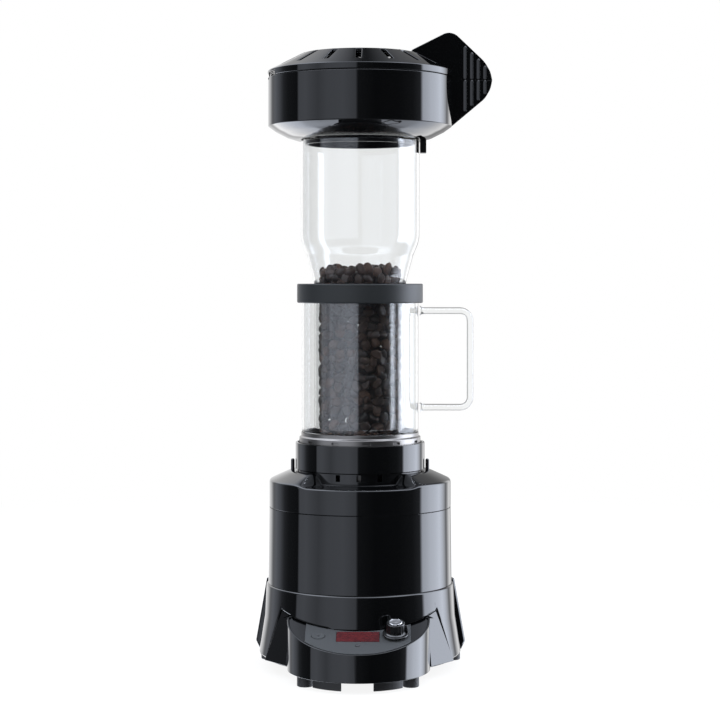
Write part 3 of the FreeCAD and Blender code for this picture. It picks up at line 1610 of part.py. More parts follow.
def screen_retainer():
    """Ring that clamps the screen up against the lid's bosses."""
    band = ring("screen_radius", "screen_radius - 7.5", "1.4", 0, 0, "screen_height - 1.5")
    holes = [cylinder("screw_hole", "4", across, back, "screen_height - 3")
             for across, back in retainer_spots()]
    return named(cut(band, group(*holes)), "screen_retainer")


def lid_screws():
    """Retainer screws, and the two that hold the upper half of the handle."""
    screws = [screw(across, back, "(screen_height - 1.5 - screw_head)", "5")
              for across, back in retainer_spots()]
    for reach in ("lid_screw_near", "lid_screw_far"):
        across, back = along_handle(reach)
        seat = under_lid(reach + " + screw_head_radius")
        screws.append(screw(across, back, "(%s - screw_head)" % seat, "lid_screw_length"))
    return named(group(*screws), "lid_screws")


# ---------------------------------------------------------------- the whole roaster
def build_all():
    fill_sheet()
    makers = [
        rubber_feet, bottom_plate, base_skirt, rear_cover, main_shell, top_cap, chamber_seat, seat_gasket,
        control_pod, panel_overlay, display_window, display_module, control_board, encoder_body, tact_switch,
        status_lens, blower_housing, motor_can, motor_end_cap, motor_bearings, motor_magnets, motor_spider,
        heater_tube, heater_coils, heater_frame, thermal_cutout, power_board, power_parts, heat_sink,
        cord_gland, housing_screws, board_screws,
        fan_impeller, motor_shaft, rotor_core, impeller_nut,
        encoder_plunger, encoder_shaft, control_knob, knob_cap, push_button,
        chamber_glass, glass_handle, chamber_base_ring, diffuser_plate, chamber_gasket,
        extension_glass, silicone_collar,
        collector_bowl, chaff_chimney, glass_clip, hinge_pin, bowl_handle, bowl_screws,
        collector_lid, lid_handle, filter_screen, screen_retainer, lid_screws,
    ]
    for make in makers:
        make()
    DOC.recompute()


def check_and_write():
    """Stops on any failed object or bad shape, then writes one STEP file per sub-part."""
    failed = [thing.Label for thing in DOC.Objects if {"Invalid", "Error"} & set(thing.State)]
    if failed:
        raise RuntimeError("failed objects: %s" % failed)
    for node in NODES:
        if node.Shape.isNull() or not node.Shape.isValid():
            raise RuntimeError("bad shape: %s" % node.Label)
    os.makedirs("parts", exist_ok=True)
    for node in NODES:
        node.Shape.exportStep("parts/%s.step" % node.Label)
        print("%-18s %2d solids %10.1f mm3" % (node.Label, len(node.Shape.Solids), node.Shape.Volume))


build_all()
check_and_write()
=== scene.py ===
"""Looks of a home hot-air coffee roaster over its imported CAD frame.

The frame is in metres, +Z up, with the control pod at -Y. Sizes here are in millimetres unless a
comment says otherwise, and MM turns them into metres.
"""

import functools
import json
import math
import random

import bmesh
import bpy
import numpy
from mathutils import Euler, Matrix, Vector

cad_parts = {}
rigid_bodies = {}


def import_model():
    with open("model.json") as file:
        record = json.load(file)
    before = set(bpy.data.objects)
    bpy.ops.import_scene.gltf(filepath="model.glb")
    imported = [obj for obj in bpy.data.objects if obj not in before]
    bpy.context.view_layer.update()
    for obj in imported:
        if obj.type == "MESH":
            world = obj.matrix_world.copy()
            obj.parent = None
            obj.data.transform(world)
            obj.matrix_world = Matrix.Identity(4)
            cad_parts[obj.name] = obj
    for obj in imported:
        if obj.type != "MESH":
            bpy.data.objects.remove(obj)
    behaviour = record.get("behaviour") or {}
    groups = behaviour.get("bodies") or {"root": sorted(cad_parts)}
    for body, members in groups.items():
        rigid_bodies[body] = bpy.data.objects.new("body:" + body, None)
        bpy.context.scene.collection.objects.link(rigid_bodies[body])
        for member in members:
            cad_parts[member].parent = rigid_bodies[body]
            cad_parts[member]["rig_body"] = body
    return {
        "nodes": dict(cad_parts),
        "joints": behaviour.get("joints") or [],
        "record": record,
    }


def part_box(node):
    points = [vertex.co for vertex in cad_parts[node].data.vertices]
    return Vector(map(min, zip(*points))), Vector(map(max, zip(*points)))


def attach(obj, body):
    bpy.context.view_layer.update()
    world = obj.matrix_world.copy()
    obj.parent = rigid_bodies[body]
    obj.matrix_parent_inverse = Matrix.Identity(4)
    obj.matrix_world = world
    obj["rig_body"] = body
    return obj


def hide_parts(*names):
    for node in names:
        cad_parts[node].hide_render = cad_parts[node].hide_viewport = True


MM = 0.001
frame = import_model()
NODES = frame["nodes"]
JOINTS = {joint["name"]: joint for joint in frame["joints"]}
SLOT_OF = {part["node"]: part["material_slot"] for part in frame["record"]["subparts"]}
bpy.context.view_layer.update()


# ---------------------------------------------------------------- node trees
def feed(tree, socket, value):
    """Gives a socket a number, a colour or another node's output."""
    if isinstance(value, bpy.types.NodeSocket):
        tree.links.new(value, socket)
    elif isinstance(value, tuple) and len(value) == 3 and socket.type == "RGBA":
        socket.default_value = (*value, 1.0)
    else:
        socket.default_value = value


def set_inputs(tree, made, **inputs):
    """Feeds a node's inputs by their names, whose spaces are written as underscores."""
    for name, value in inputs.items():
        feed(tree, made.inputs[name.replace("_", " ")], value)


def add(tree, kind, settings=None, **inputs):
    """New shader node with its settings and inputs."""
    made = tree.nodes.new("ShaderNode" + kind)
    for name, value in (settings or {}).items():
        setattr(made, name, value)
    set_inputs(tree, made, **inputs)
    return made


def calculate(tree, operation, *values):
    """Result of one step of arithmetic."""
    made = add(tree, "Math", {"operation": operation})
    for socket, value in zip(made.inputs, values):
        feed(tree, socket, value)
    return made.outputs["Value"]


def step_between(tree, value, low, high):
    """Smooth step from 0 at low to 1 at high."""
    made = add(tree, "MapRange", {"interpolation_type": "SMOOTHSTEP"},
               Value=value, From_Min=low, From_Max=high)
    return made.outputs["Result"]


def blend(tree, share, first, second, data_type, socket_type):
    """first where share is 0, second where it is 1."""
    made = add(tree, "Mix", {"data_type": data_type}, Factor=share)
    for name, value in (("A", first), ("B", second)):
        feed(tree, next(s for s in made.inputs if s.name == name and s.type == socket_type), value)
    return next(s for s in made.outputs if s.type == socket_type)


def blend_numbers(tree, share, first, second):
    """Blend of two numbers."""
    return blend(tree, share, first, second, "FLOAT", "VALUE")


def blend_colours(tree, share, first, second):
    """Blend of two colours."""
    return blend(tree, share, first, second, "RGBA", "RGBA")


def grey(level):
    """Colour without a hue."""
    return (level, level, level)


def ramp(tree, value, stops):
    """Colour ramp through (position, level) or (position, colour) stops."""
    made = add(tree, "ValToRGB", Fac=value)
    elements = made.color_ramp.elements
    while len(elements) < len(stops):
        elements.new(1.0)
    for element, (position, level) in zip(elements, stops):
        element.position = position
        element.color = (*(level if isinstance(level, tuple) else grey(level)), 1.0)
    return made.outputs["Color"]


# ---------------------------------------------------------------- materials
COLOUR_DRIFT = 0.08


def new_material(name):
    """Material with its node tree and its shader."""
    material = bpy.data.materials.new(name)
    material.use_nodes = True
    tree = material.node_tree
    return material, tree, tree.nodes["Principled BSDF"]


def scaled(colour, share):
    """Lighter or darker colour of the same hue."""
    return tuple(channel * share for channel in colour)


def object_noise(tree, scale, detail, finer=(1.0, 1.0, 1.0)):
    """Noise fixed to the piece, in cycles per metre; finer says how much finer along each axis."""
    place = add(tree, "TexCoord").outputs["Object"]
    mapped = add(tree, "Mapping", Vector=place, Scale=finer)
    return add(tree, "TexNoise", Vector=mapped.outputs["Vector"], Scale=scale, Detail=detail).outputs["Fac"]


def bump(tree, height, strength, depth):
    """Facing of a surface with relief, depth millimetres deep."""
    return add(tree, "Bump", Strength=strength, Distance=depth * MM, Height=height).outputs["Normal"]


def plastic(name, colour, rough, rough_spread, grain=0.0, grain_scale=2500.0, specular=0.5):
    """Moulded plastic: slow drift in colour and gloss and, with grain, a fine moulded texture."""
    material, tree, shader = new_material(name)
    drift = object_noise(tree, 22.0, 3.0)
    darker, lighter = scaled(colour, 1 - COLOUR_DRIFT), scaled(colour, 1 + COLOUR_DRIFT)
    set_inputs(tree, shader, Base_Color=blend_colours(tree, drift, darker, lighter),
               Roughness=blend_numbers(tree, drift, rough, rough + rough_spread),
               Specular_IOR_Level=specular)
    if grain:
        set_inputs(tree, shader, Normal=bump(tree, object_noise(tree, grain_scale, 2.0), grain, 0.2))
    return material


def metal(name, colour, rough, brushed):
    """Metal with level brushing: lines of noise that vary its colour and its roughness."""
    material, tree, shader = new_material(name)
    lines = object_noise(tree, 90.0, 4.0, (1.0, 1.0, 60.0))
    rougher = rough + 0.25 * brushed + 0.02
    set_inputs(tree, shader, Metallic=1.0, Roughness=blend_numbers(tree, lines, rough, rougher),
               Base_Color=blend_colours(tree, lines, scaled(colour, 1 - brushed), colour))
    return material


def display_red():
    """Dark red window film with the digit block showing through as a slow mottle."""
    material, tree, shader = new_material("display_red")
    mottle = step_between(tree, object_noise(tree, 260.0, 3.0, (1.0, 1.6, 1.0)), 0.36, 0.66)
    set_inputs(tree, shader, Roughness=0.20, Specular_IOR_Level=0.2,
               Base_Color=blend_colours(tree, mottle, (0.046, 0.005, 0.007), (0.080, 0.009, 0.011)))
    return material


def clear_glass():
    """Borosilicate with a faint draw-line ripple."""
    material, tree, shader = new_material("clear_glass")
    ripple = object_noise(tree, 60.0, 1.0, (1.0, 1.0, 0.15))
    set_inputs(tree, shader, Base_Color=(0.938, 0.946, 0.946), Roughness=0.0, IOR=1.47,
               Transmission_Weight=1.0, Normal=bump(tree, ripple, 0.04, 1.0))
    return material


def bean_skin():
    """Oily dark roast: brown to near black from bean to bean, with a satin sheen."""
    material, tree, shader = new_material("bean_skin")
    shade = add(tree, "Attribute", {"attribute_name": "bean_shade"}).outputs["Fac"]
    browns = [(0.0, (0.030, 0.016, 0.010)), (0.55, (0.080, 0.042, 0.026)), (1.0, (0.170, 0.088, 0.052))]
    wrinkle = object_noise(tree, 900.0, 4.0)
    set_inputs(tree, shader, Base_Color=ramp(tree, shade, browns),
               Roughness=blend_numbers(tree, shade, 0.36, 0.52), Normal=bump(tree, wrinkle, 0.25, 0.4))
    return material


MATERIALS = {
    "gloss_black": plastic("gloss_black", (0.0011, 0.0012, 0.0013), 0.022, 0.02),
    "black_matte": plastic("black_matte", (0.006, 0.006, 0.0065), 0.38, 0.1, grain=0.15),
    "panel_grey": plastic("panel_grey", (0.062, 0.067, 0.072), 0.42, 0.06,
                          grain=0.10, grain_scale=5200.0, specular=0.25),
    "display_red": display_red(),
    "clear_glass": clear_glass(),
    "steel": metal("steel", (0.22, 0.21, 0.20), 0.28, brushed=0.25),
    "chrome": metal("chrome", (0.82, 0.82, 0.83), 0.06, brushed=0.04),
    "silicone": plastic("silicone", (0.0065, 0.0080, 0.0088), 0.45, 0.08,
                        grain=0.08, grain_scale=3000.0, specular=0.4),
    "rubber": plastic("rubber", (0.012, 0.012, 0.013), 0.55, 0.1, grain=0.2),
    "board_green": plastic("board_green", (0.015, 0.075, 0.035), 0.35, 0.1, grain=0.1),
    "electronics": plastic("electronics", (0.03, 0.03, 0.035), 0.4, 0.15),
    "aluminium": metal("aluminium", (0.75, 0.75, 0.76), 0.3, brushed=0.1),
    "motor_iron": metal("motor_iron", (0.42, 0.41, 0.40), 0.4, brushed=0.1),
    "mica": plastic("mica", (0.28, 0.22, 0.15), 0.35, 0.15, grain=0.2),
    "nichrome": metal("nichrome", (0.34, 0.30, 0.27), 0.35, brushed=0.1),
    "mesh_steel": metal("mesh_steel", (0.5, 0.5, 0.5), 0.35, brushed=0.15),
    "smoke_lens": plastic("smoke_lens", (0.05, 0.052, 0.056), 0.2, 0.05),
}


# ---------------------------------------------------------------- pieces
def give(piece, slot):
    """Puts a slot's material on a piece."""
    piece.data.materials.clear()
    piece.data.materials.append(MATERIALS[slot])


def new_piece(name, mesh, body):
    """Piece that rides on a body."""
    piece = bpy.data.objects.new(name, mesh)
    bpy.context.scene.collection.objects.link(piece)
    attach(piece, body)
    return piece


def body_of_node(node):
    """Name of the body that carries a CAD node."""
    return NODES[node]["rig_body"]


def stand_for(piece, node):
    """The piece takes a CAD node's place and its finish."""
    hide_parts(node)
    give(piece, SLOT_OF[node])
    return piece


# ---------------------------------------------------------------- shading
# How far a facet may stray from the turned surface it belongs to, and the largest sideways part of
# its facing. The fold, in degrees, is the angle from which two faces are shaded apart.
SAG = 0.15
SIDEWAYS = 0.04
SHADING_FOLD = 40.0


def read_off(things, what, width=1, kind=float):
    """One property of a mesh's vertices, faces or corners, as an array with a row for each."""
    values = numpy.empty(len(things) * width, dtype=kind)
    things.foreach_get(what, values)
    return values.reshape(-1, width) if width > 1 else values


def unit(vectors):
    """Rows made one long, but for rows of nothing."""
    return vectors / numpy.maximum(numpy.linalg.norm(vectors, axis=1, keepdims=True), 1e-12)


def smooth_all(mesh):
    """Marks every face as smooth."""
    for face in mesh.polygons:
        face.use_smooth = True


def round_facing(mesh, corner_vertex, corner_face, sag):
    """Each corner's normal: a facet of a surface turned about the axis takes that surface's own."""
    places = read_off(mesh.vertices, "co", 3)
    normals = read_off(mesh.polygons, "normal", 3)
    spokes = unit(read_off(mesh.polygons, "center", 3)[:, :2])
    outward = (normals[:, :2] * spokes).sum(axis=1)
    sideways = normals[:, 1] * spokes[:, 0] - normals[:, 0] * spokes[:, 1]
    corner_reach = numpy.linalg.norm(places[corner_vertex, :2], axis=1)
    level = corner_reach * outward[corner_face] + places[corner_vertex, 2] * normals[corner_face, 2]
    lowest = numpy.full(len(normals), numpy.inf)
    highest = numpy.full(len(normals), -numpy.inf)
    numpy.minimum.at(lowest, corner_face, level)
    numpy.maximum.at(highest, corner_face, level)
    is_turned = (numpy.abs(sideways) < SIDEWAYS) & (highest - lowest < sag * MM)
    facing = normals[corner_face]
    chosen = is_turned[corner_face]
    facing[chosen, :2] = unit(places[corner_vertex[chosen], :2]) * outward[corner_face[chosen], None]
    return unit(facing)


def even_shading(mesh, sag=SAG):
    """Smooth shading that keeps flat faces flat and turned surfaces round."""
    smooth_all(mesh)
    corner_vertex = read_off(mesh.loops, "vertex_index", kind=int)
    corners_each = read_off(mesh.polygons, "loop_total", kind=int)
    corner_face = numpy.repeat(numpy.arange(len(mesh.polygons)), corners_each)
    facing = round_facing(mesh, corner_vertex, corner_face, sag)
    weighted = facing * read_off(mesh.polygons, "area")[corner_face, None]
    order = numpy.argsort(corner_vertex, kind="stable")
    count = numpy.bincount(corner_vertex, minlength=len(mesh.vertices))
    first = numpy.concatenate(([0], numpy.cumsum(count)[:-1]))
    place = numpy.empty(len(order), dtype=int)
    place[order] = numpy.arange(len(order)) - first[corner_vertex[order]]
    total = weighted.copy()
    for shift in range(1, count.max()):
        corners = numpy.nonzero(count[corner_vertex] > shift)[0]
        vertices = corner_vertex[corners]
        partners = order[first[vertices] + (place[corners] + shift) % count[vertices]]
        near = (facing[corners] * facing[partners]).sum(axis=1) > math.cos(math.radians(SHADING_FOLD))
        total[corners[near]] += weighted[partners[near]]
    mesh.normals_split_custom_set(unit(total))


def settle(piece, sag):
    """Makes the modified shape the piece's own mesh and shades it evenly."""
    graph = bpy.context.evaluated_depsgraph_get()
    mesh = bpy.data.meshes.new_from_object(piece.evaluated_get(graph))
    mesh.name = piece.name
    piece.modifiers.clear()
    piece.data = mesh
    even_shading(mesh, sag)


# ---------------------------------------------------------------- copies of CAD nodes
# Points nearer than WELD are joined, and edges shorter than SLIVER go. WIDE_EDGE is the rounding
# of the few edges that are rounded more than the rest.
WELD = 0.02
SLIVER = 0.05
WIDE_EDGE = 4.0
WIDE_STEPS = 6


def soften(node, name, edge=0.5, steps=2, fold=32.0, merge=0.8, sag=SAG, reshape=None, wide=None):
    """Copy of a CAD node whose sharp edges are rounded by edge millimetres, in steps.

    Edges that fold by more than fold degrees count as sharp, and facets that fold by less than
    merge are joined. reshape moves a point. wide picks the edges, by their two ends, that get the
    larger WIDE_EDGE rounding first.
    """
    mesh = NODES[node].data.copy()
    shape = bmesh.new()
    shape.from_mesh(mesh)
    bmesh.ops.remove_doubles(shape, verts=shape.verts, dist=WELD * MM)
    bmesh.ops.dissolve_degenerate(shape, dist=SLIVER * MM, edges=shape.edges)
    bmesh.ops.dissolve_limit(shape, angle_limit=math.radians(merge), verts=shape.verts, edges=shape.edges,
                             use_dissolve_boundaries=False)
    if reshape:
        for vertex in shape.verts:
            vertex.co = reshape(vertex.co / MM) * MM
    if wide:
        chosen = [line for line in shape.edges if wide(*(vertex.co / MM for vertex in line.verts))]
        bmesh.ops.bevel(shape, geom=chosen, offset=WIDE_EDGE * MM, segments=WIDE_STEPS, profile=0.5,
                        affect="EDGES", clamp_overlap=True)
    shape.to_mesh(mesh)
    shape.free()
    piece = new_piece(name, mesh, body_of_node(node))
    bevel = piece.modifiers.new("round edges", "BEVEL")
    bevel.width = edge * MM
    bevel.segments = steps
    bevel.limit_method = "ANGLE"
    bevel.angle_limit = math.radians(fold)
    bevel.use_clamp_overlap = False
    bevel.miter_outer = "MITER_ARC"
    settle(piece, sag)
    return stand_for(piece, node)


# ---------------------------------------------------------------- modelled pieces
# An outline's point on the axis has the radius ON_AXIS; points nearer than SAME_PLACE are joined.
ON_AXIS = 0.01
SAME_PLACE = 0.001


def rounded(corners, steps=5):
    """Outline through (radius, height, fillet) corners, each fillet written out as an arc."""
    outline = []
    for index, (radius, height, fillet) in enumerate(corners):
        here = Vector((radius, height))
        if not fillet:
            outline.append(here)
            continue
        back = (Vector(corners[index - 1][:2]) - here).normalized()
        ahead = (Vector(corners[(index + 1) % len(corners)][:2]) - here).normalized()
        half = back.angle(ahead) / 2
        centre = here + (back + ahead).normalized() * (fillet / math.sin(half))
        first = here + back * (fillet / math.tan(half)) - centre
        last = here + ahead * (fillet / math.tan(half)) - centre
        sweep = first.angle(last)
        for step in range(steps + 1):
            share = step / steps
            spoke = first * math.sin((1 - share) * sweep) + last * math.sin(share * sweep)
            outline.append(centre + spoke / math.sin(sweep))
    return outline


def loft(shape, rings, openings=(), closed=True):
    """Skin over rings of points, in millimetres; an opening is a (ring, point) cell left out."""
    loops = [[shape.verts.new(Vector(point) * MM) for point in ring] for ring in rings]
    beyond = loops[1:] + loops[:1] if closed else loops[1:]
    for column, (here, there) in enumerate(zip(loops, beyond)):
        for row in range(len(here)):
            after = (row + 1) % len(here)
            if (column, row) not in openings:
                shape.faces.new((here[row], here[after], there[after], there[row]))
    return loops


def bar(shape, rings):
    """Skin over rings of points with a face at each end."""
    loops = loft(shape, rings, closed=False)
    shape.faces.new(loops[0])
    shape.faces.new(loops[-1])


def circle(sides):
    """Cosine and sine of each of the directions around a circle."""
    angles = [2 * math.pi * side / sides for side in range(sides)]
    return [(math.cos(angle), math.sin(angle)) for angle in angles]


def finished(name, shape, body, stand=None):
    """Piece from a bmesh, shaded evenly; stand is its place where it isn't on the roast axis."""
    bmesh.ops.recalc_face_normals(shape, faces=shape.faces)
    mesh = bpy.data.meshes.new(name)
    shape.to_mesh(mesh)
    shape.free()
    even_shading(mesh)
    if stand:
        mesh.transform(stand)
    return new_piece(name, mesh, body)


def spin(point, degrees, radius=None):
    """An outline point turned about the axis to a compass angle, anticlockwise from +X."""
    angle = math.radians(degrees)
    reach = point.x if radius is None else radius
    return Vector((math.cos(angle) * reach, math.sin(angle) * reach, point.y))


def turned(name, corners, body, segments=192, stand=None, wave=None):
    """Ring-shaped piece turned about the axis from corners; wave alters a point's radius."""
    outline = rounded(corners)
    shape = bmesh.new()
    rings = []
    for segment in range(segments):
        degrees = 360 * segment / segments
        rings.append([spin(point, degrees, wave(point, degrees) if wave else None) for point in outline])
    loft(shape, rings)
    bmesh.ops.remove_doubles(shape, verts=shape.verts, dist=SAME_PLACE * MM)
    return finished(name, shape, body, stand)


# ---------------------------------------------------------------- sizes read off the frame
NEAR_HEIGHT = 0.6


@functools.cache
def box_of(node):
    """A node's lowest and highest corners in millimetres."""
    low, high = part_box(node)
    return low / MM, high / MM


def top_of(node):
    """Height of a node's top."""
    return box_of(node)[1].z


def foot_of(node):
    """Height of a node's foot."""
    return box_of(node)[0].z


def radius_at(node, height):
    """(smallest, largest) distance from the roast axis of a node's points near a height."""
    reach = [v.co.xy.length / MM for v in NODES[node].data.vertices
             if abs(v.co.z / MM - height) < NEAR_HEIGHT]
    return min(reach), max(reach)


# ---------------------------------------------------------------- cap
# The cap's cross-section, up its outside and down its inside. A point is its distance in from the
# cap's edge and its height over the top of the shell, over the cap's own top along its rim, and
# over the top of the chamber's seat along the floor that carries it. The ledge has two heights,
# in the valleys and on the domes.
CAP_FOOT = [(0.5, 0.3), (0.15, 0.45), (0.0, 0.8)]
CAP_LEDGE = [
    (0.0, 18.1, 19.8), (0.2, 19.1, 20.9), (0.6, 19.6, 21.5), (1.3, 20.0, 22.2), (2.8, 20.1, 22.9),
    (6.0, 20.2, 24.4), (9.8, 20.3, 26.1), (13.4, 20.4, 27.7), (15.4, 20.5, 28.5), (17.0, 20.6, 28.9),
    (18.8, 20.8, 29.0), (20.2, 20.8, 29.0), (21.3, 20.85, 29.0), (22.0, 21.0, 29.1), (22.4, 21.4, 29.1),
    (22.4, 23.9, 29.1),
]
CAP_NECK = [(22.4, 29.2), (22.4, 29.7), (22.1, 30.0), (21.3, 30.1), (20.8, 30.6)]
CAP_RIM = [(20.8, -0.8), (21.0, -0.2), (21.5, 0.0), (22.3, 0.0), (22.8, -0.2), (23.0, -0.7)]
CAP_FLOOR = [(23.0, 0.0), (28.2, 0.0), (28.2, -2.4), (24.8, -2.4)]
CAP_INSIDE = [(24.8, 29.2), (24.8, 23.9), (24.8, 19.0), (22.4, 17.6), (4.3, 17.6), (4.3, -3.5),
              (2.7, -3.5), (2.7, 0.3)]
# The vents cut the outside between VENT_ROW and the row after it, and the inside from INNER_ROW.
VENT_ROW = len(CAP_FOOT + CAP_LEDGE) - 1
INNER_ROW = len(CAP_FOOT + CAP_LEDGE + CAP_NECK + CAP_RIM + CAP_FLOOR)
VENT_HALF = 1.8
VENT_TURNS = [side + shift for side in (-90, 90) for shift in (-19, 0, 19)]
# Degrees between the cap's rings, and the least that keeps one apart from a vent's side.
CAP_STEP = 2
CAP_STEP_LEAST = 0.9
# Degrees from the side at which a dome starts to fall, and at which it has ended.
DOME_FLAT = 46.0
DOME_FOOT = 57.0
# The two posts: in from the cap's edge, and heights over the top of the shell.
POST_INWARD = 18.6
POST_FOOT = 27.5
POST_TOP = 38.0
POST_RADIUS = 1.5
POST_SIDES = 20
# A post's rounded top: shares of its radius, as the width left and the drop from the top.
POST_ROUND = [(1.0, 1.0), (0.87, 0.5), (0.5, 0.13)]


def dome_share(degrees):
    """1 on the domes at each side, 0 in the valleys at front and back."""
    off_side = abs((degrees + 90) % 180 - 90)
    share = min(max((off_side - DOME_FLAT) / (DOME_FOOT - DOME_FLAT), 0), 1)
    return 1 - share * share * (3 - 2 * share)


def cap_outline(degrees):
    """Cross-section of the cap at a compass angle."""
    share = dome_share(degrees)
    edge = box_of("top_cap")[1].x
    ledge = [(inward, low + share * (high - low)) for inward, low, high in CAP_LEDGE]
    stretches = [
        (CAP_FOOT + ledge + CAP_NECK, top_of("main_shell")), (CAP_RIM, top_of("top_cap")),
        (CAP_FLOOR, top_of("chamber_seat")), (CAP_INSIDE, top_of("main_shell")),
    ]
    return [Vector((edge - inward, base + height)) for points, base in stretches for inward, height in points]


def post(shape, side):
    """Small upright post with a rounded top, on the dome at one side."""
    across = side * (box_of("top_cap")[1].x - POST_INWARD)
    base = top_of("main_shell")
    rows = [(1.0, base + POST_FOOT)]
    rows += [(share, base + POST_TOP - drop * POST_RADIUS) for share, drop in POST_ROUND]
    bar(shape, [[Vector((across + cosine * POST_RADIUS * share, sine * POST_RADIUS * share, height))
                 for cosine, sine in circle(POST_SIDES)] for share, height in rows])


def cap():
    """Cap whose ledge rises into a dome on each side of the vented neck."""
    neck = box_of("top_cap")[1].x - CAP_NECK[0][0]
    half = math.degrees(math.asin(VENT_HALF / neck))
    vent_sides = [turn + side * half for turn in VENT_TURNS for side in (-1, 1)]
    between = [float(angle) for angle in range(-180, 180, CAP_STEP)
               if min(abs(angle - other) for other in vent_sides) > CAP_STEP_LEAST]
    angles = sorted(vent_sides + between)
    vents = [(angles.index(turn - half), angles.index(turn + half)) for turn in VENT_TURNS]
    openings = {(column, row) for first, last in vents for column in range(first, last)
                for row in (VENT_ROW, INNER_ROW)}
    shape = bmesh.new()
    rings = [[spin(point, degrees) for point in cap_outline(degrees)] for degrees in angles]
    loops = loft(shape, rings, openings)
    for first, last in vents:
        for here, there in zip(loops[first:last], loops[first + 1:last + 1]):
            shape.faces.new((here[VENT_ROW], there[VENT_ROW], there[INNER_ROW + 1], here[INNER_ROW + 1]))
            shape.faces.new((here[VENT_ROW + 1], here[INNER_ROW], there[INNER_ROW], there[VENT_ROW + 1]))
        for loop in (loops[first], loops[last]):
            shape.faces.new((loop[VENT_ROW], loop[INNER_ROW + 1], loop[INNER_ROW], loop[VENT_ROW + 1]))
    for side in (-1, 1):
        post(shape, side)
    stand_for(finished("cap", shape, "base"), "top_cap")


# ---------------------------------------------------------------- controls
# The panel's own frame is across, up the slope and out of it, from the middle of the panel. The
# knob stands level with that middle, and its joint's place and axis are the frame's.
KNOB_PLACE = Vector(JOINTS["knob_turn"]["pos_m"])
KNOB_AXIS = JOINTS["knob_turn"]["axis"]
PANEL_TILT = math.atan2(-KNOB_AXIS[1], KNOB_AXIS[2])
PANEL = Matrix.Translation((0, KNOB_PLACE.y, KNOB_PLACE.z)) @ Matrix.Rotation(PANEL_TILT, 4, "X")
KNOB_SPOT = (KNOB_PLACE.x / MM, 0.0)
BUTTON_SPOT = (-30.0, -0.4)
# Outlines of turned pieces: (radius, height over the panel, fillet).
KNOB = [
    (3.05, 2.0, 0.0), (10.0, 2.0, 0.5), (9.9, 3.4, 0.7), (8.2, 3.9, 0.6), (7.3, 4.5, 0.4), (7.15, 5.2, 0.0),
    (7.0, 10.9, 0.0), (6.9, 12.0, 0.7), (5.25, 12.0, 0.2), (5.25, 11.6, 0.0), (3.05, 11.6, 0.0),
]
KNOB_DISC = [
    (ON_AXIS, 12.75, 0.0), (ON_AXIS, 12.05, 0.0), (5.1, 12.05, 0.1), (5.1, 12.55, 0.25), (4.4, 12.75, 0.0),
    (3.9, 12.5, 0.0), (2.2, 12.45, 0.0),
]
BUTTON_NUB = [
    (ON_AXIS, 1.05, 0.0), (ON_AXIS, 0.6, 0.0), (1.15, 0.6, 0.0), (1.15, 0.85, 0.2), (0.7, 1.05, 0.3),
]
FLUTE_COUNT = 16
FLUTE_DEPTH = 0.32
FLUTE_LOW = 4.6
FLUTE_HIGH = 11.3
FLUTE_INNER = 6.0
LUG_SIZE = (3.0, 1.6, 6.6)
LUG_MIDDLE = (7.9, 0.0, 6.4)
LUG_LEAN = 0.6
LUG_EDGE = 0.45


def on_panel(spot):
    """Place of a spot on the panel."""
    return PANEL @ Matrix.Translation(Vector((*spot, 0)) * MM)


def fluted(point, degrees):
    """Radius of a point of the knob, drawn in by the flutes of its grip."""
    if FLUTE_LOW < point.y < FLUTE_HIGH and point.x > FLUTE_INNER:
        return point.x - FLUTE_DEPTH * (0.5 + 0.5 * math.cos(math.radians(degrees * FLUTE_COUNT))) ** 2
    return point.x


def knob():
    """Fluted knob on a bright-edged skirt, with its pointer lug and chrome cap."""
    stand_for(turned("knob", KNOB, "knob", 160, on_panel(KNOB_SPOT), fluted), "control_knob")
    knob_lug()
    stand_for(turned("knob_disc", KNOB_DISC, "knob", 96, on_panel(KNOB_SPOT)), "knob_cap")


def knob_lug():
    """Pointer lug on the knob's side, whose outer face leans in at its top."""
    shape = bmesh.new()
    bmesh.ops.create_cube(shape, size=1.0)
    for vertex in shape.verts:
        is_leaning = vertex.co.z > 0 and vertex.co.x > 0
        place = vertex.co * Vector(LUG_SIZE) + Vector(LUG_MIDDLE)
        place.x -= LUG_LEAN * is_leaning
        vertex.co = place * MM
    bmesh.ops.bevel(shape, geom=shape.edges, offset=LUG_EDGE * MM, segments=3, affect="EDGES", profile=0.5)
    give(finished("knob_lug", shape, "knob", on_panel(KNOB_SPOT)), "gloss_black")


def button():
    """Dished key in the panel's grey, with a dark nub in its middle."""
    give(soften("push_button", "start_button", 0.35, 3), "panel_grey")
    give(turned("button_nub", BUTTON_NUB, "button", 48, on_panel(BUTTON_SPOT)), "rubber")


# ---------------------------------------------------------------- housing
# The rear shell's ends: how closely a point has to lie on an end face's slope, how far from the
# middle height its foot and top are looked for, and how far an outer corner stands off its inside.
SLOPE_MATCH = 0.02
FROM_MIDDLE = 15.0
CORNER_PROUD = 1.5


def slope_of(point):
    """How far back a point lies for each millimetre to the side."""
    return point.y / max(abs(point.x), 1.0)


@functools.cache
def rear_shell_end():
    """The rear shell's end faces: their slope, and how near the axis they come below and above."""
    points = [v.co / MM for v in NODES["rear_cover"].data.vertices]
    slope = min(slope_of(point) for point in points)
    at_end = [point for point in points if abs(slope_of(point) - slope) < SLOPE_MATCH]
    middle = (foot_of("rear_cover") + top_of("rear_cover")) / 2
    low = min(point.xy.length for point in at_end if point.z < middle - FROM_MIDDLE)
    high = min(point.xy.length for point in at_end if point.z > middle + FROM_MIDDLE)
    return slope, low, high


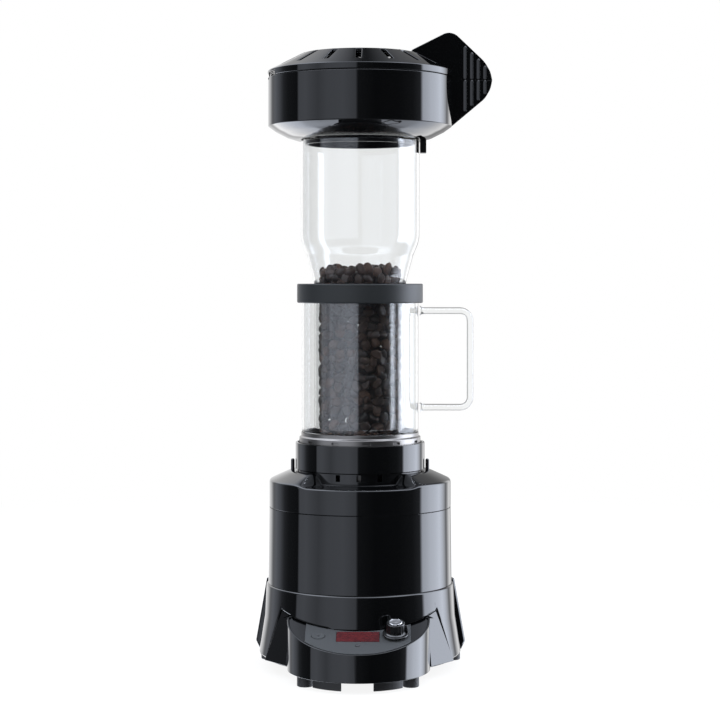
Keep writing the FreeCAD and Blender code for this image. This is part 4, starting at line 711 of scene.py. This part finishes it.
def is_rear_corner(point):
    """Whether a point is on an outer front corner of the rear shell."""
    slope, low, high = rear_shell_end()
    foot, top = foot_of("rear_cover"), top_of("rear_cover")
    inside = low + (high - low) * (point.z - foot) / (top - foot)
    return abs(slope_of(point) - slope) < SLOPE_MATCH and point.xy.length > inside + CORNER_PROUD


def rear_corner_edge(here, there):
    """Whether an edge runs along an outer front corner of the rear shell."""
    return is_rear_corner(here) and is_rear_corner(there)


def housing():
    """Stand, shells, cap and control pod."""
    soften("base_skirt", "skirt", 1.7, 5)
    soften("rear_cover", "rear_shell", 0.7, 3, wide=rear_corner_edge)
    soften("main_shell", "tall_shell", 0.3)
    cap()
    soften("control_pod", "pod", 0.45, 3)
    soften("panel_overlay", "panel_film", 0.15)
    soften("display_window", "display", 0.25)
    soften("bottom_plate", "floor_plate", 0.4)
    soften("rubber_feet", "feet", 0.8, 3)
    soften("cord_gland", "gland", 0.4)
    button()
    knob()


# ---------------------------------------------------------------- glassware
CHAMBER_SHOULDER = 9.0
# The extension's outside from its wide tube down to its stem: (height over the silicone collar,
# fillet) where it leaves the tube, then (out from the stem, height over the collar, fillet).
TUBE_END = (34.5, 30.0)
FUNNEL = [(5.9, 22.9, 20.0), (1.7, 7.5, 24.0), (0.0, 0.3, 6.0)]
COLLAR_GAP = 0.3
ROD_RADIUS = 2.6
ROD_BEND = 8.0
ROD_SIDES = 28
BEND_STEPS = 8
# The rod's ends stand ROD_START off the glass and thicken: (out from the end, girth as a share of
# the rod's).
ROD_START = 1.2
WELD_SPOTS = [(0.0, 1.55), (1.6, 1.12), (4.0, 1.0)]


def chamber():
    """Straight glass with a narrower foot."""
    rim, foot = top_of("chamber_glass"), foot_of("chamber_glass")
    inner, outer = radius_at("chamber_glass", rim)
    neck_inner, neck_outer = radius_at("chamber_glass", foot)
    shoulder = foot + CHAMBER_SHOULDER
    glass = turned("roast_chamber", [
        (inner, rim, 0.9), (outer, rim, 0.9), (outer, shoulder, 1.2), (neck_outer, shoulder, 0.0),
        (neck_outer, foot, 0.6), (neck_inner, foot, 0.6), (neck_inner, shoulder, 1.0),
        (inner, shoulder + 2.0, 2.0),
    ], "chamber")
    stand_for(glass, "chamber_glass")


def extension():
    """Wide tube that funnels down to a stem."""
    top, foot = top_of("extension_glass"), foot_of("extension_glass")
    collar_top = top_of("silicone_collar")
    inner, outer = radius_at("extension_glass", top)
    stem = radius_at("extension_glass", foot)[1]
    rise, fillet = TUBE_END
    outside = [(outer, collar_top + rise, fillet)]
    outside += [(stem + out, collar_top + height, fillet) for out, height, fillet in FUNNEL]
    outside.append((stem, foot, 0.9))
    inside = [(radius - (outer - inner), height, fillet) for radius, height, fillet in reversed(outside)]
    glass = turned("extension_tube", [(outer, top, 0.9), *outside, *inside, (inner, top, 0.9)], "tube")
    stand_for(glass, "extension_glass")


def collar():
    """Silicone collar that grips the stem and caps the chamber."""
    foot, top = foot_of("silicone_collar"), top_of("silicone_collar")
    grip, outer = radius_at("silicone_collar", foot)
    stem = radius_at("silicone_collar", top)[0]
    seat = top_of("chamber_glass") + COLLAR_GAP
    band = turned("stem_collar", [
        (grip, foot, 0.3), (outer, foot, 1.0), (outer, top, 1.0), (stem, top, 0.6), (stem, seat, 0.3),
        (grip, seat, 0.3),
    ], "tube")
    stand_for(band, "silicone_collar")


def handle_line():
    """Centre line of the rod handle: out, up and back in the XZ plane."""
    low, high = foot_of("glass_handle") + ROD_RADIUS, top_of("glass_handle") - ROD_RADIUS
    bend_at = box_of("glass_handle")[1].x - ROD_RADIUS - ROD_BEND
    start = box_of("glass_handle")[0].x + ROD_START
    line = [Vector((start + out, low)) for out, _ in WELD_SPOTS]
    for height, first in ((low + ROD_BEND, -90), (high - ROD_BEND, 0)):
        for step in range(BEND_STEPS + 1):
            angle = math.radians(first + step * 90 / BEND_STEPS)
            line.append(Vector((bend_at, height)) + ROD_BEND * Vector((math.cos(angle), math.sin(angle))))
    return line + [Vector((start + out, high)) for out, _ in reversed(WELD_SPOTS)]


def rod():
    """Bent glass rod that thickens where it is welded to the chamber."""
    line = handle_line()
    shape = bmesh.new()
    rings = []
    for index, spot in enumerate(line):
        along = (line[min(index + 1, len(line) - 1)] - line[max(index - 1, 0)]).normalized()
        from_end = min(index, len(line) - 1 - index)
        girth = ROD_RADIUS * WELD_SPOTS[min(from_end, len(WELD_SPOTS) - 1)][1]
        across = Vector((-along.y, along.x)) * girth
        rings.append([Vector((spot.x + across.x * cosine, sine * girth, spot.y + across.y * cosine))
                      for cosine, sine in circle(ROD_SIDES)])
    bar(shape, rings)
    stand_for(finished("rod_handle", shape, "chamber"), "glass_handle")


def glassware():
    """Chamber, extension tube and what holds them."""
    chamber()
    extension()
    collar()
    rod()
    soften("chamber_base_ring", "base_ring", 0.25)


# ---------------------------------------------------------------- beans
BEAN_LENGTH = 10.2
BEAN_WIDTH = 7.6
BEAN_THICK = 5.0
BEAN_ROWS = 7
BEAN_COLUMNS = 12
# A bean's dome as a share of its thickness, its flat side as a share of its dome, and its crease.
BEAN_DOME = 0.68
BEAN_FLAT = 0.5
CREASE_DEPTH = 1.1
CREASE_HALF = 0.8
# The pile: its clearance in the stem's bore, its top over the collar's, its first layer over the
# diffuser, and the rise from one layer to the next.
BEAN_CLEARANCE = 0.4
PILE_OVER_COLLAR = 10.4
FIRST_LAYER = 4.2
LAYER_RISE = 6.4
# Rings of beans in a layer, from the outside: (in from the widest, beans, how freely they lie).
# Only the layers that can be seen from above or below have the inner rings.
OUTER_RINGS = [(0.0, 23, 0.30), (6.4, 17, 1.2)]
INNER_RINGS = [(13.9, 11, 1.5), (22.4, 5, 1.5)]
FULL_LAYERS = 3
# How much a bean's place varies: as a share of its spacing, in reach, and up or down.
TURN_PLAY = 0.22
REACH_PLAY = 0.9
RISE_PLAY = 2.0
BEAN_SIZES = (0.86, 1.05)
BEAN_GAP = 0.35
SEED = 11


def bean_mesh():
    """One bean's points and faces: domed above, flat with a crease below."""
    points = [Vector((-BEAN_LENGTH / 2, 0, 0))]
    for row in range(1, BEAN_ROWS):
        tilt = math.pi * row / BEAN_ROWS
        girth = math.sin(tilt) ** 0.8
        for cosine, sine in circle(BEAN_COLUMNS):
            across = cosine * girth * BEAN_WIDTH / 2
            rise = sine * girth * BEAN_THICK * BEAN_DOME
            if rise < 0:
                rise = rise * BEAN_FLAT + CREASE_DEPTH * girth * math.exp(-(across / CREASE_HALF) ** 2)
            points.append(Vector((-math.cos(tilt) * BEAN_LENGTH / 2, across, rise)))
    points.append(Vector((BEAN_LENGTH / 2, 0, 0)))
    last = len(points) - 1
    faces = []
    for column in range(BEAN_COLUMNS):
        after = (column + 1) % BEAN_COLUMNS
        faces.append((0, 1 + after, 1 + column))
        for row in range(BEAN_ROWS - 2):
            low = 1 + row * BEAN_COLUMNS
            high = low + BEAN_COLUMNS
            faces.append((low + column, low + after, high + after, high + column))
        faces.append((last, last - BEAN_COLUMNS + column, last - BEAN_COLUMNS + after))
    return points, faces


def bean_spots(rng):
    """(reach of its outermost point, compass angle, height, how freely it lies) for each bean."""
    widest = radius_at("extension_glass", foot_of("extension_glass"))[0] - BEAN_CLEARANCE
    ground = top_of("diffuser_plate")
    pile_top = top_of("silicone_collar") + PILE_OVER_COLLAR
    layers = int((pile_top - ground) / LAYER_RISE) + 1
    for layer in range(layers):
        height = ground + FIRST_LAYER + layer * LAYER_RISE
        is_full = layer >= layers - FULL_LAYERS or layer == 0
        for inward, count, freedom in OUTER_RINGS + (INNER_RINGS if is_full else []):
            turn = rng.uniform(0, 360)
            for index in range(count):
                degrees = turn + 360 * (index + rng.uniform(-TURN_PLAY, TURN_PLAY)) / count
                reach = widest - inward - rng.uniform(0, REACH_PLAY)
                yield reach, degrees, height + rng.uniform(-RISE_PLAY, RISE_PLAY), freedom


def beans():
    """Dark roasted beans that fill the stem; they lie on the diffuser and ride with the chamber."""
    rng = random.Random(SEED)
    points, faces = bean_mesh()
    places = []
    shown = []
    shades = []
    for reach, degrees, height, freedom in bean_spots(rng):
        lie = Euler((rng.gauss(0, freedom), rng.gauss(0, freedom), rng.uniform(0, 2 * math.pi))).to_matrix()
        flip = Matrix.Rotation(rng.choice((0.0, math.pi)), 3, "X")
        outward = Matrix.Rotation(math.radians(degrees), 3, "Z") @ Matrix.Rotation(math.radians(90), 3, "Y")
        size = rng.uniform(*BEAN_SIZES)
        turned_points = [outward @ lie @ flip @ point * size for point in points]
        spoke = spin(Vector((1.0, 0.0)), degrees)
        middle = reach - max(point.dot(spoke) for point in turned_points) - BEAN_GAP
        first = len(places)
        places += [(point + spoke * middle + Vector((0, 0, height))) * MM for point in turned_points]
        shown += [tuple(first + index for index in face) for face in faces]
        shades += [rng.random() ** 1.5] * len(points)
    mesh = bpy.data.meshes.new("coffee_beans")
    mesh.from_pydata(places, [], shown)
    mesh.attributes.new("bean_shade", "FLOAT", "POINT").data.foreach_set("value", shades)
    smooth_all(mesh)
    new_piece("coffee_beans", mesh, "chamber")
    mesh.materials.append(bean_skin())


# ---------------------------------------------------------------- chaff collector
# The handle's outline in its own plane: (reach from the roast axis, height over its split, fillet).
UPPER_HANDLE = [
    (73.9, 0.0, 0.0), (107.9, 0.0, 0.0), (106.5, 6.9, 18.0), (101.6, 15.0, 25.0), (74.24, 40.0, 10.8),
    (41.8, 23.4, 1.5), (41.8, 19.2, 0.0), (46.8, 19.2, 0.0), (73.9, 5.4, 0.0),
]
LOWER_HANDLE = [
    (73.5, 0.0, 0.0), (73.5, -37.2, 0.6), (75.0, -37.2, 1.2), (101.9, -14.8, 18.0), (106.5, -6.9, 18.0),
    (107.9, 0.0, 0.0),
]
FILLET_STEPS = 10
# The handle stands across the lid's hinge, whose axis is the frame's.
HINGE_AXIS = JOINTS["lid_open"]["axis"]
HANDLE_AZIMUTH = math.atan2(HINGE_AXIS[0], -HINGE_AXIS[1])
HANDLE_HALF = 2.3
HANDLE_EDGE = 0.6
# The handle's rounded edge: shares of HANDLE_EDGE, in from its outline and in from its face.
EDGE_ROUND = [(1.0, 0.0), (0.3, 0.3), (0.0, 1.0)]
MITRE_LEAST = 0.35
SPLIT_GAP = 0.1
RIB_REACHES = [85.9 + 5.43 * place for place in range(4)]
# How far a rib ends from the handle's outer edge and from its split.
RIB_MARGIN = 2.2
RIB_SPLIT_MARGIN = 0.05
# A rib's section: across from its crest, and how far it stands proud.
RIB_SECTION = [(-1.9, -0.2), (-1.9, 0.0), (-1.6, 0.06), (0.0, 0.70), (0.35, 0.72), (0.6, 0.55), (0.75, 0.0),
               (0.75, -0.2)]
# A rib's drawn-out end: (in from it, share of the section there).
RIB_END = [(0.0, 0.25), (0.7, 0.8), (1.6, 1.0)]
# The bowl and the lid are turned on many facets, so fewer are merged and more count as round.
TURNED_MERGE = 0.12
TURNED_SAG = 0.8
LID_FOLD = 14.0
# The bowl's points within SPIGOT_FOOT of its lowest go up by SPIGOT_LIFT.
SPIGOT_FOOT = 1.0
SPIGOT_LIFT = 4.4


def drawn_in(outline, depth):
    """Outline moved inwards by a depth."""
    inside = []
    turn = sum(here.x * there.y - there.x * here.y for here, there in zip(outline, outline[1:] + outline[:1]))
    side = math.copysign(depth, turn)
    for index, here in enumerate(outline):
        back = (here - outline[index - 1]).normalized()
        ahead = (outline[(index + 1) % len(outline)] - here).normalized()
        normal = (Vector((-back.y, back.x)) + Vector((-ahead.y, ahead.x))).normalized()
        inside.append(here + normal * side / max(normal.dot(Vector((-back.y, back.x))), MITRE_LEAST))
    return inside


def crossings(outline, reach):
    """Lowest and highest heights at which an outline passes a reach."""
    heights = []
    for here, there in zip(outline, outline[1:] + outline[:1]):
        if (here.x - reach) * (there.x - reach) < 0:
            heights.append(here.y + (there.y - here.y) * (reach - here.x) / (there.x - here.x))
    return min(heights), max(heights)


def rib(shape, reach, low, high, face):
    """Wedge-shaped bar standing on one face of the handle, drawn out at its ends."""
    rows = [(low + inward, share) for inward, share in RIB_END]
    rows += [(high - inward, share) for inward, share in reversed(RIB_END)]
    bar(shape, [[Vector((reach + across * share, face * (HANDLE_HALF + proud * share), height))
                 for across, proud in RIB_SECTION] for height, share in rows])


def handle_half(name, node, corners, split, sign):
    """Half of the grip, above the split (sign 1) or below it (-1), with upright ribs on both faces."""
    outline = [Vector((point.x, split + sign * SPLIT_GAP / 2 + point.y))
               for point in rounded(corners, FILLET_STEPS)]
    far_side = [(drawn_in(outline, inward * HANDLE_EDGE), HANDLE_HALF - drop * HANDLE_EDGE)
                for inward, drop in reversed(EDGE_ROUND)]
    sections = [(ring, -across) for ring, across in reversed(far_side)] + far_side
    shape = bmesh.new()
    bar(shape, [[Vector((point.x, across, point.y)) for point in ring] for ring, across in sections])
    below, above = (RIB_SPLIT_MARGIN, RIB_MARGIN) if sign > 0 else (RIB_MARGIN, RIB_SPLIT_MARGIN)
    for reach in RIB_REACHES:
        low, high = crossings(outline, reach)
        for face in (-1, 1):
            rib(shape, reach, low + below, high - above, face)
    piece = finished(name, shape, body_of_node(node), Matrix.Rotation(HANDLE_AZIMUTH, 4, "Z"))
    stand_for(piece, node)


def shorter_spigot(point):
    """The spigot's foot lifted to where the photograph shows its edge."""
    if point.z < foot_of("collector_bowl") + SPIGOT_FOOT:
        return point + Vector((0, 0, SPIGOT_LIFT))
    return point


def collector():
    """Bowl, lid, their handle halves and the clip."""
    split = (top_of("bowl_handle") + foot_of("lid_handle")) / 2
    soften("collector_bowl", "bowl", 0.6, 3, merge=TURNED_MERGE, sag=TURNED_SAG, reshape=shorter_spigot)
    soften("collector_lid", "lid", 0.6, 3, fold=LID_FOLD, merge=TURNED_MERGE, sag=TURNED_SAG)
    handle_half("handle_lower", "bowl_handle", LOWER_HANDLE, split, -1)
    handle_half("handle_upper", "lid_handle", UPPER_HANDLE, split, 1)
    soften("glass_clip", "clip", 0.4)


def carried_over():
    """Every CAD node that still shows takes its own slot's material."""
    for node, thing in NODES.items():
        if not thing.hide_render:
            thing.data.materials.clear()
            thing.data.materials.append(MATERIALS[SLOT_OF[node]])


# ---------------------------------------------------------------- camera
# The camera's azimuth in degrees, its distance and height in metres, and its lens.
CAMERA_AZIMUTH = 1.1
CAMERA_DISTANCE = 1.533
CAMERA_HEIGHT = 0.308
CAMERA_LENS = 95.8
CAMERA_SHIFT = -0.111


def camera():
    """Level camera where the photograph's stood."""
    data = bpy.data.cameras.new("camera")
    data.lens = CAMERA_LENS
    data.shift_y = CAMERA_SHIFT
    thing = bpy.data.objects.new("camera", data)
    bpy.context.scene.collection.objects.link(thing)
    azimuth = math.radians(CAMERA_AZIMUTH)
    away = Vector((math.sin(azimuth), -math.cos(azimuth), 0)) * CAMERA_DISTANCE
    thing.location = away + Vector((0, 0, CAMERA_HEIGHT))
    thing.rotation_euler = (math.radians(90), 0, azimuth)
    bpy.context.scene.camera = thing


# ---------------------------------------------------------------- light
# Studio brightness by compass direction, in degrees from the camera's side towards +X.
LOW_BAND = [
    (-180, 0.90), (-166, 1.25), (-150, 1.40), (-140, 0.50), (-130, 0.72), (-119, 0.58), (-109, 0.20),
    (-100, 0.10), (-83, 0.07), (-81, 1.05), (-70, 1.22), (-52, 0.86), (-40, 1.15), (-20, 1.24), (-4, 0.92),
    (-2, 0.10), (20, 0.03), (50, 0.04), (70, 0.10), (82, 0.30), (86, 6.4), (100, 7.1), (120, 5.9),
    (132, 2.6), (140, 0.6), (150, 1.7), (158, 1.8), (166, 0.60), (180, 0.40),
]
HIGH_BAND = [
    (-180, 0.05), (-178.3, 0.12), (-176.6, 0.22), (-174.7, 0.34), (-170, 0.60), (-163, 1.2), (-143, 2.2),
    (-125, 3.5), (-100, 5.0), (-90, 5.5), (-40, 5.0), (0, 4.2), (40, 5.0), (90, 5.5), (105, 4.5),
    (125, 1.8), (143, 0.15), (160, 0.40), (170, 0.32), (175, 0.16), (178, 0.05), (180, 0.05),
]
BELOW_BAND = [
    (-180, 1.5), (-160, 3.6), (-140, 4.6), (-125, 3.0), (-105, 0.30), (0, 0.12), (105, 0.30), (125, 2.0),
    (140, 3.0), (160, 2.6), (180, 1.5),
]
DEEP_BAND = [
    (-180, 0.15), (-165, 0.40), (-158, 1.4), (-150, 3.0), (-140, 3.5), (-120, 1.5), (-90, 0.15), (0, 0.12),
    (90, 0.15), (120, 1.2), (140, 2.5), (150, 2.2), (158, 1.2), (165, 0.40), (180, 0.15),
]
OVERHEAD = 0.12
BRIGHTEST = 7.5
# Elevations, in degrees, over which one band gives way to the next.
DEEP_TO_BELOW = (-52, -45)
BELOW_TO_LOW = (-22, -15)
HIGH_TO_OVERHEAD = (64, 78)
# The same as sines, from the low band to the high one, which comes down by up to HIGH_DROP behind.
LOW_TO_HIGH = (0.50, 0.76)
HIGH_DROP = 0.30
# How far a direction points away from the camera, as the Y of a unit vector, where each step is.
HIGH_DROP_STEP = (0.45, 0.75)
TINT_STEP = (0.55, 0.92)
BESIDE_STEP = (0.05, 0.25)
BEHIND_STEP = (0.60, 0.92)
FRONT_TINT = (0.91, 0.975, 1.11)
BACK_TINT = (1.0, 1.0, 1.01)
GLASS_EDGE_LIGHT = 0.16
DIFFUSE_LIGHT = 1.15
WHITE = grey(1.0)
# The counter in metres: half its side, and the distances over which it fades into the backdrop,
# where its own grey goes and its glow rises to white.
COUNTER_HALF = 12.0
COUNTER_FADE = (0.35, 1.2)
COUNTER_GREY = 0.12
COUNTER_GLOW = 0.88


def world():
    """Painted studio: mirrors see the bands, the camera and straight rays through glass see white."""
    scene = bpy.context.scene
    scene.world = bpy.data.worlds.new("studio")
    scene.world.use_nodes = True
    tree = scene.world.node_tree
    direction = add(tree, "TexCoord").outputs["Generated"]
    x, y, z = add(tree, "SeparateXYZ", Vector=direction).outputs
    compass = calculate(tree, "ARCTAN2", x, calculate(tree, "MULTIPLY", y, -1.0))
    turn = calculate(tree, "MULTIPLY_ADD", compass, 1 / (2 * math.pi), 0.5)

    def band(stops):
        levels = ramp(tree, turn, [((degrees + 180) / 360, level / BRIGHTEST) for degrees, level in stops])
        return calculate(tree, "MULTIPLY", levels, BRIGHTEST)

    def above(elevations):
        return step_between(tree, z, *(math.sin(math.radians(elevation)) for elevation in elevations))

    painted = blend_numbers(tree, above(DEEP_TO_BELOW), band(DEEP_BAND), band(BELOW_BAND))
    painted = blend_numbers(tree, above(BELOW_TO_LOW), painted, band(LOW_BAND))
    raised = calculate(tree, "MULTIPLY_ADD", step_between(tree, y, *HIGH_DROP_STEP), HIGH_DROP, z)
    painted = blend_numbers(tree, step_between(tree, raised, *LOW_TO_HIGH), painted, band(HIGH_BAND))
    painted = blend_numbers(tree, above(HIGH_TO_OVERHEAD), painted, OVERHEAD)
    tint = blend_colours(tree, step_between(tree, y, *TINT_STEP), FRONT_TINT, BACK_TINT)
    tinted = add(tree, "VectorMath", {"operation": "SCALE"}, Vector=tint, Scale=painted).outputs["Vector"]
    path = add(tree, "LightPath").outputs
    behind = step_between(tree, y, *BEHIND_STEP)
    bent = blend_colours(tree, step_between(tree, y, *BESIDE_STEP), tinted, grey(GLASS_EDGE_LIGHT))
    through = blend_colours(tree, behind, bent, WHITE)
    level = blend_colours(tree, path["Is Transmission Ray"], tinted, through)
    level = blend_colours(tree, path["Is Camera Ray"], level, WHITE)
    level = blend_colours(tree, path["Is Diffuse Ray"], level, grey(DIFFUSE_LIGHT))
    set_inputs(tree, tree.nodes["Background"], Color=level)


def counter():
    """White counter that fades into the white backdrop."""
    mesh = bpy.data.meshes.new("counter")
    corners = [(-1, -1), (1, -1), (1, 1), (-1, 1)]
    mesh.from_pydata([(COUNTER_HALF * x, COUNTER_HALF * y, 0) for x, y in corners], [], [(0, 1, 2, 3)])
    thing = bpy.data.objects.new("counter", mesh)
    bpy.context.scene.collection.objects.link(thing)
    thing.visible_glossy = False
    thing.visible_transmission = False
    material, tree, shader = new_material("counter")
    place = add(tree, "TexCoord").outputs["Object"]
    distance = add(tree, "VectorMath", {"operation": "LENGTH"}, Vector=place).outputs["Value"]
    far = step_between(tree, distance, *COUNTER_FADE)
    set_inputs(tree, shader, Base_Color=blend_colours(tree, far, grey(COUNTER_GREY), grey(0.0)),
               Roughness=0.9, Specular_IOR_Level=0.0, Emission_Color=WHITE,
               Emission_Strength=blend_numbers(tree, far, COUNTER_GLOW, 1.0))
    mesh.materials.append(material)


def studio():
    """Camera, light and counter."""
    bpy.context.scene.view_settings.view_transform = "Standard"
    camera()
    world()
    counter()


housing()
glassware()
beans()
collector()
carried_over()
studio()
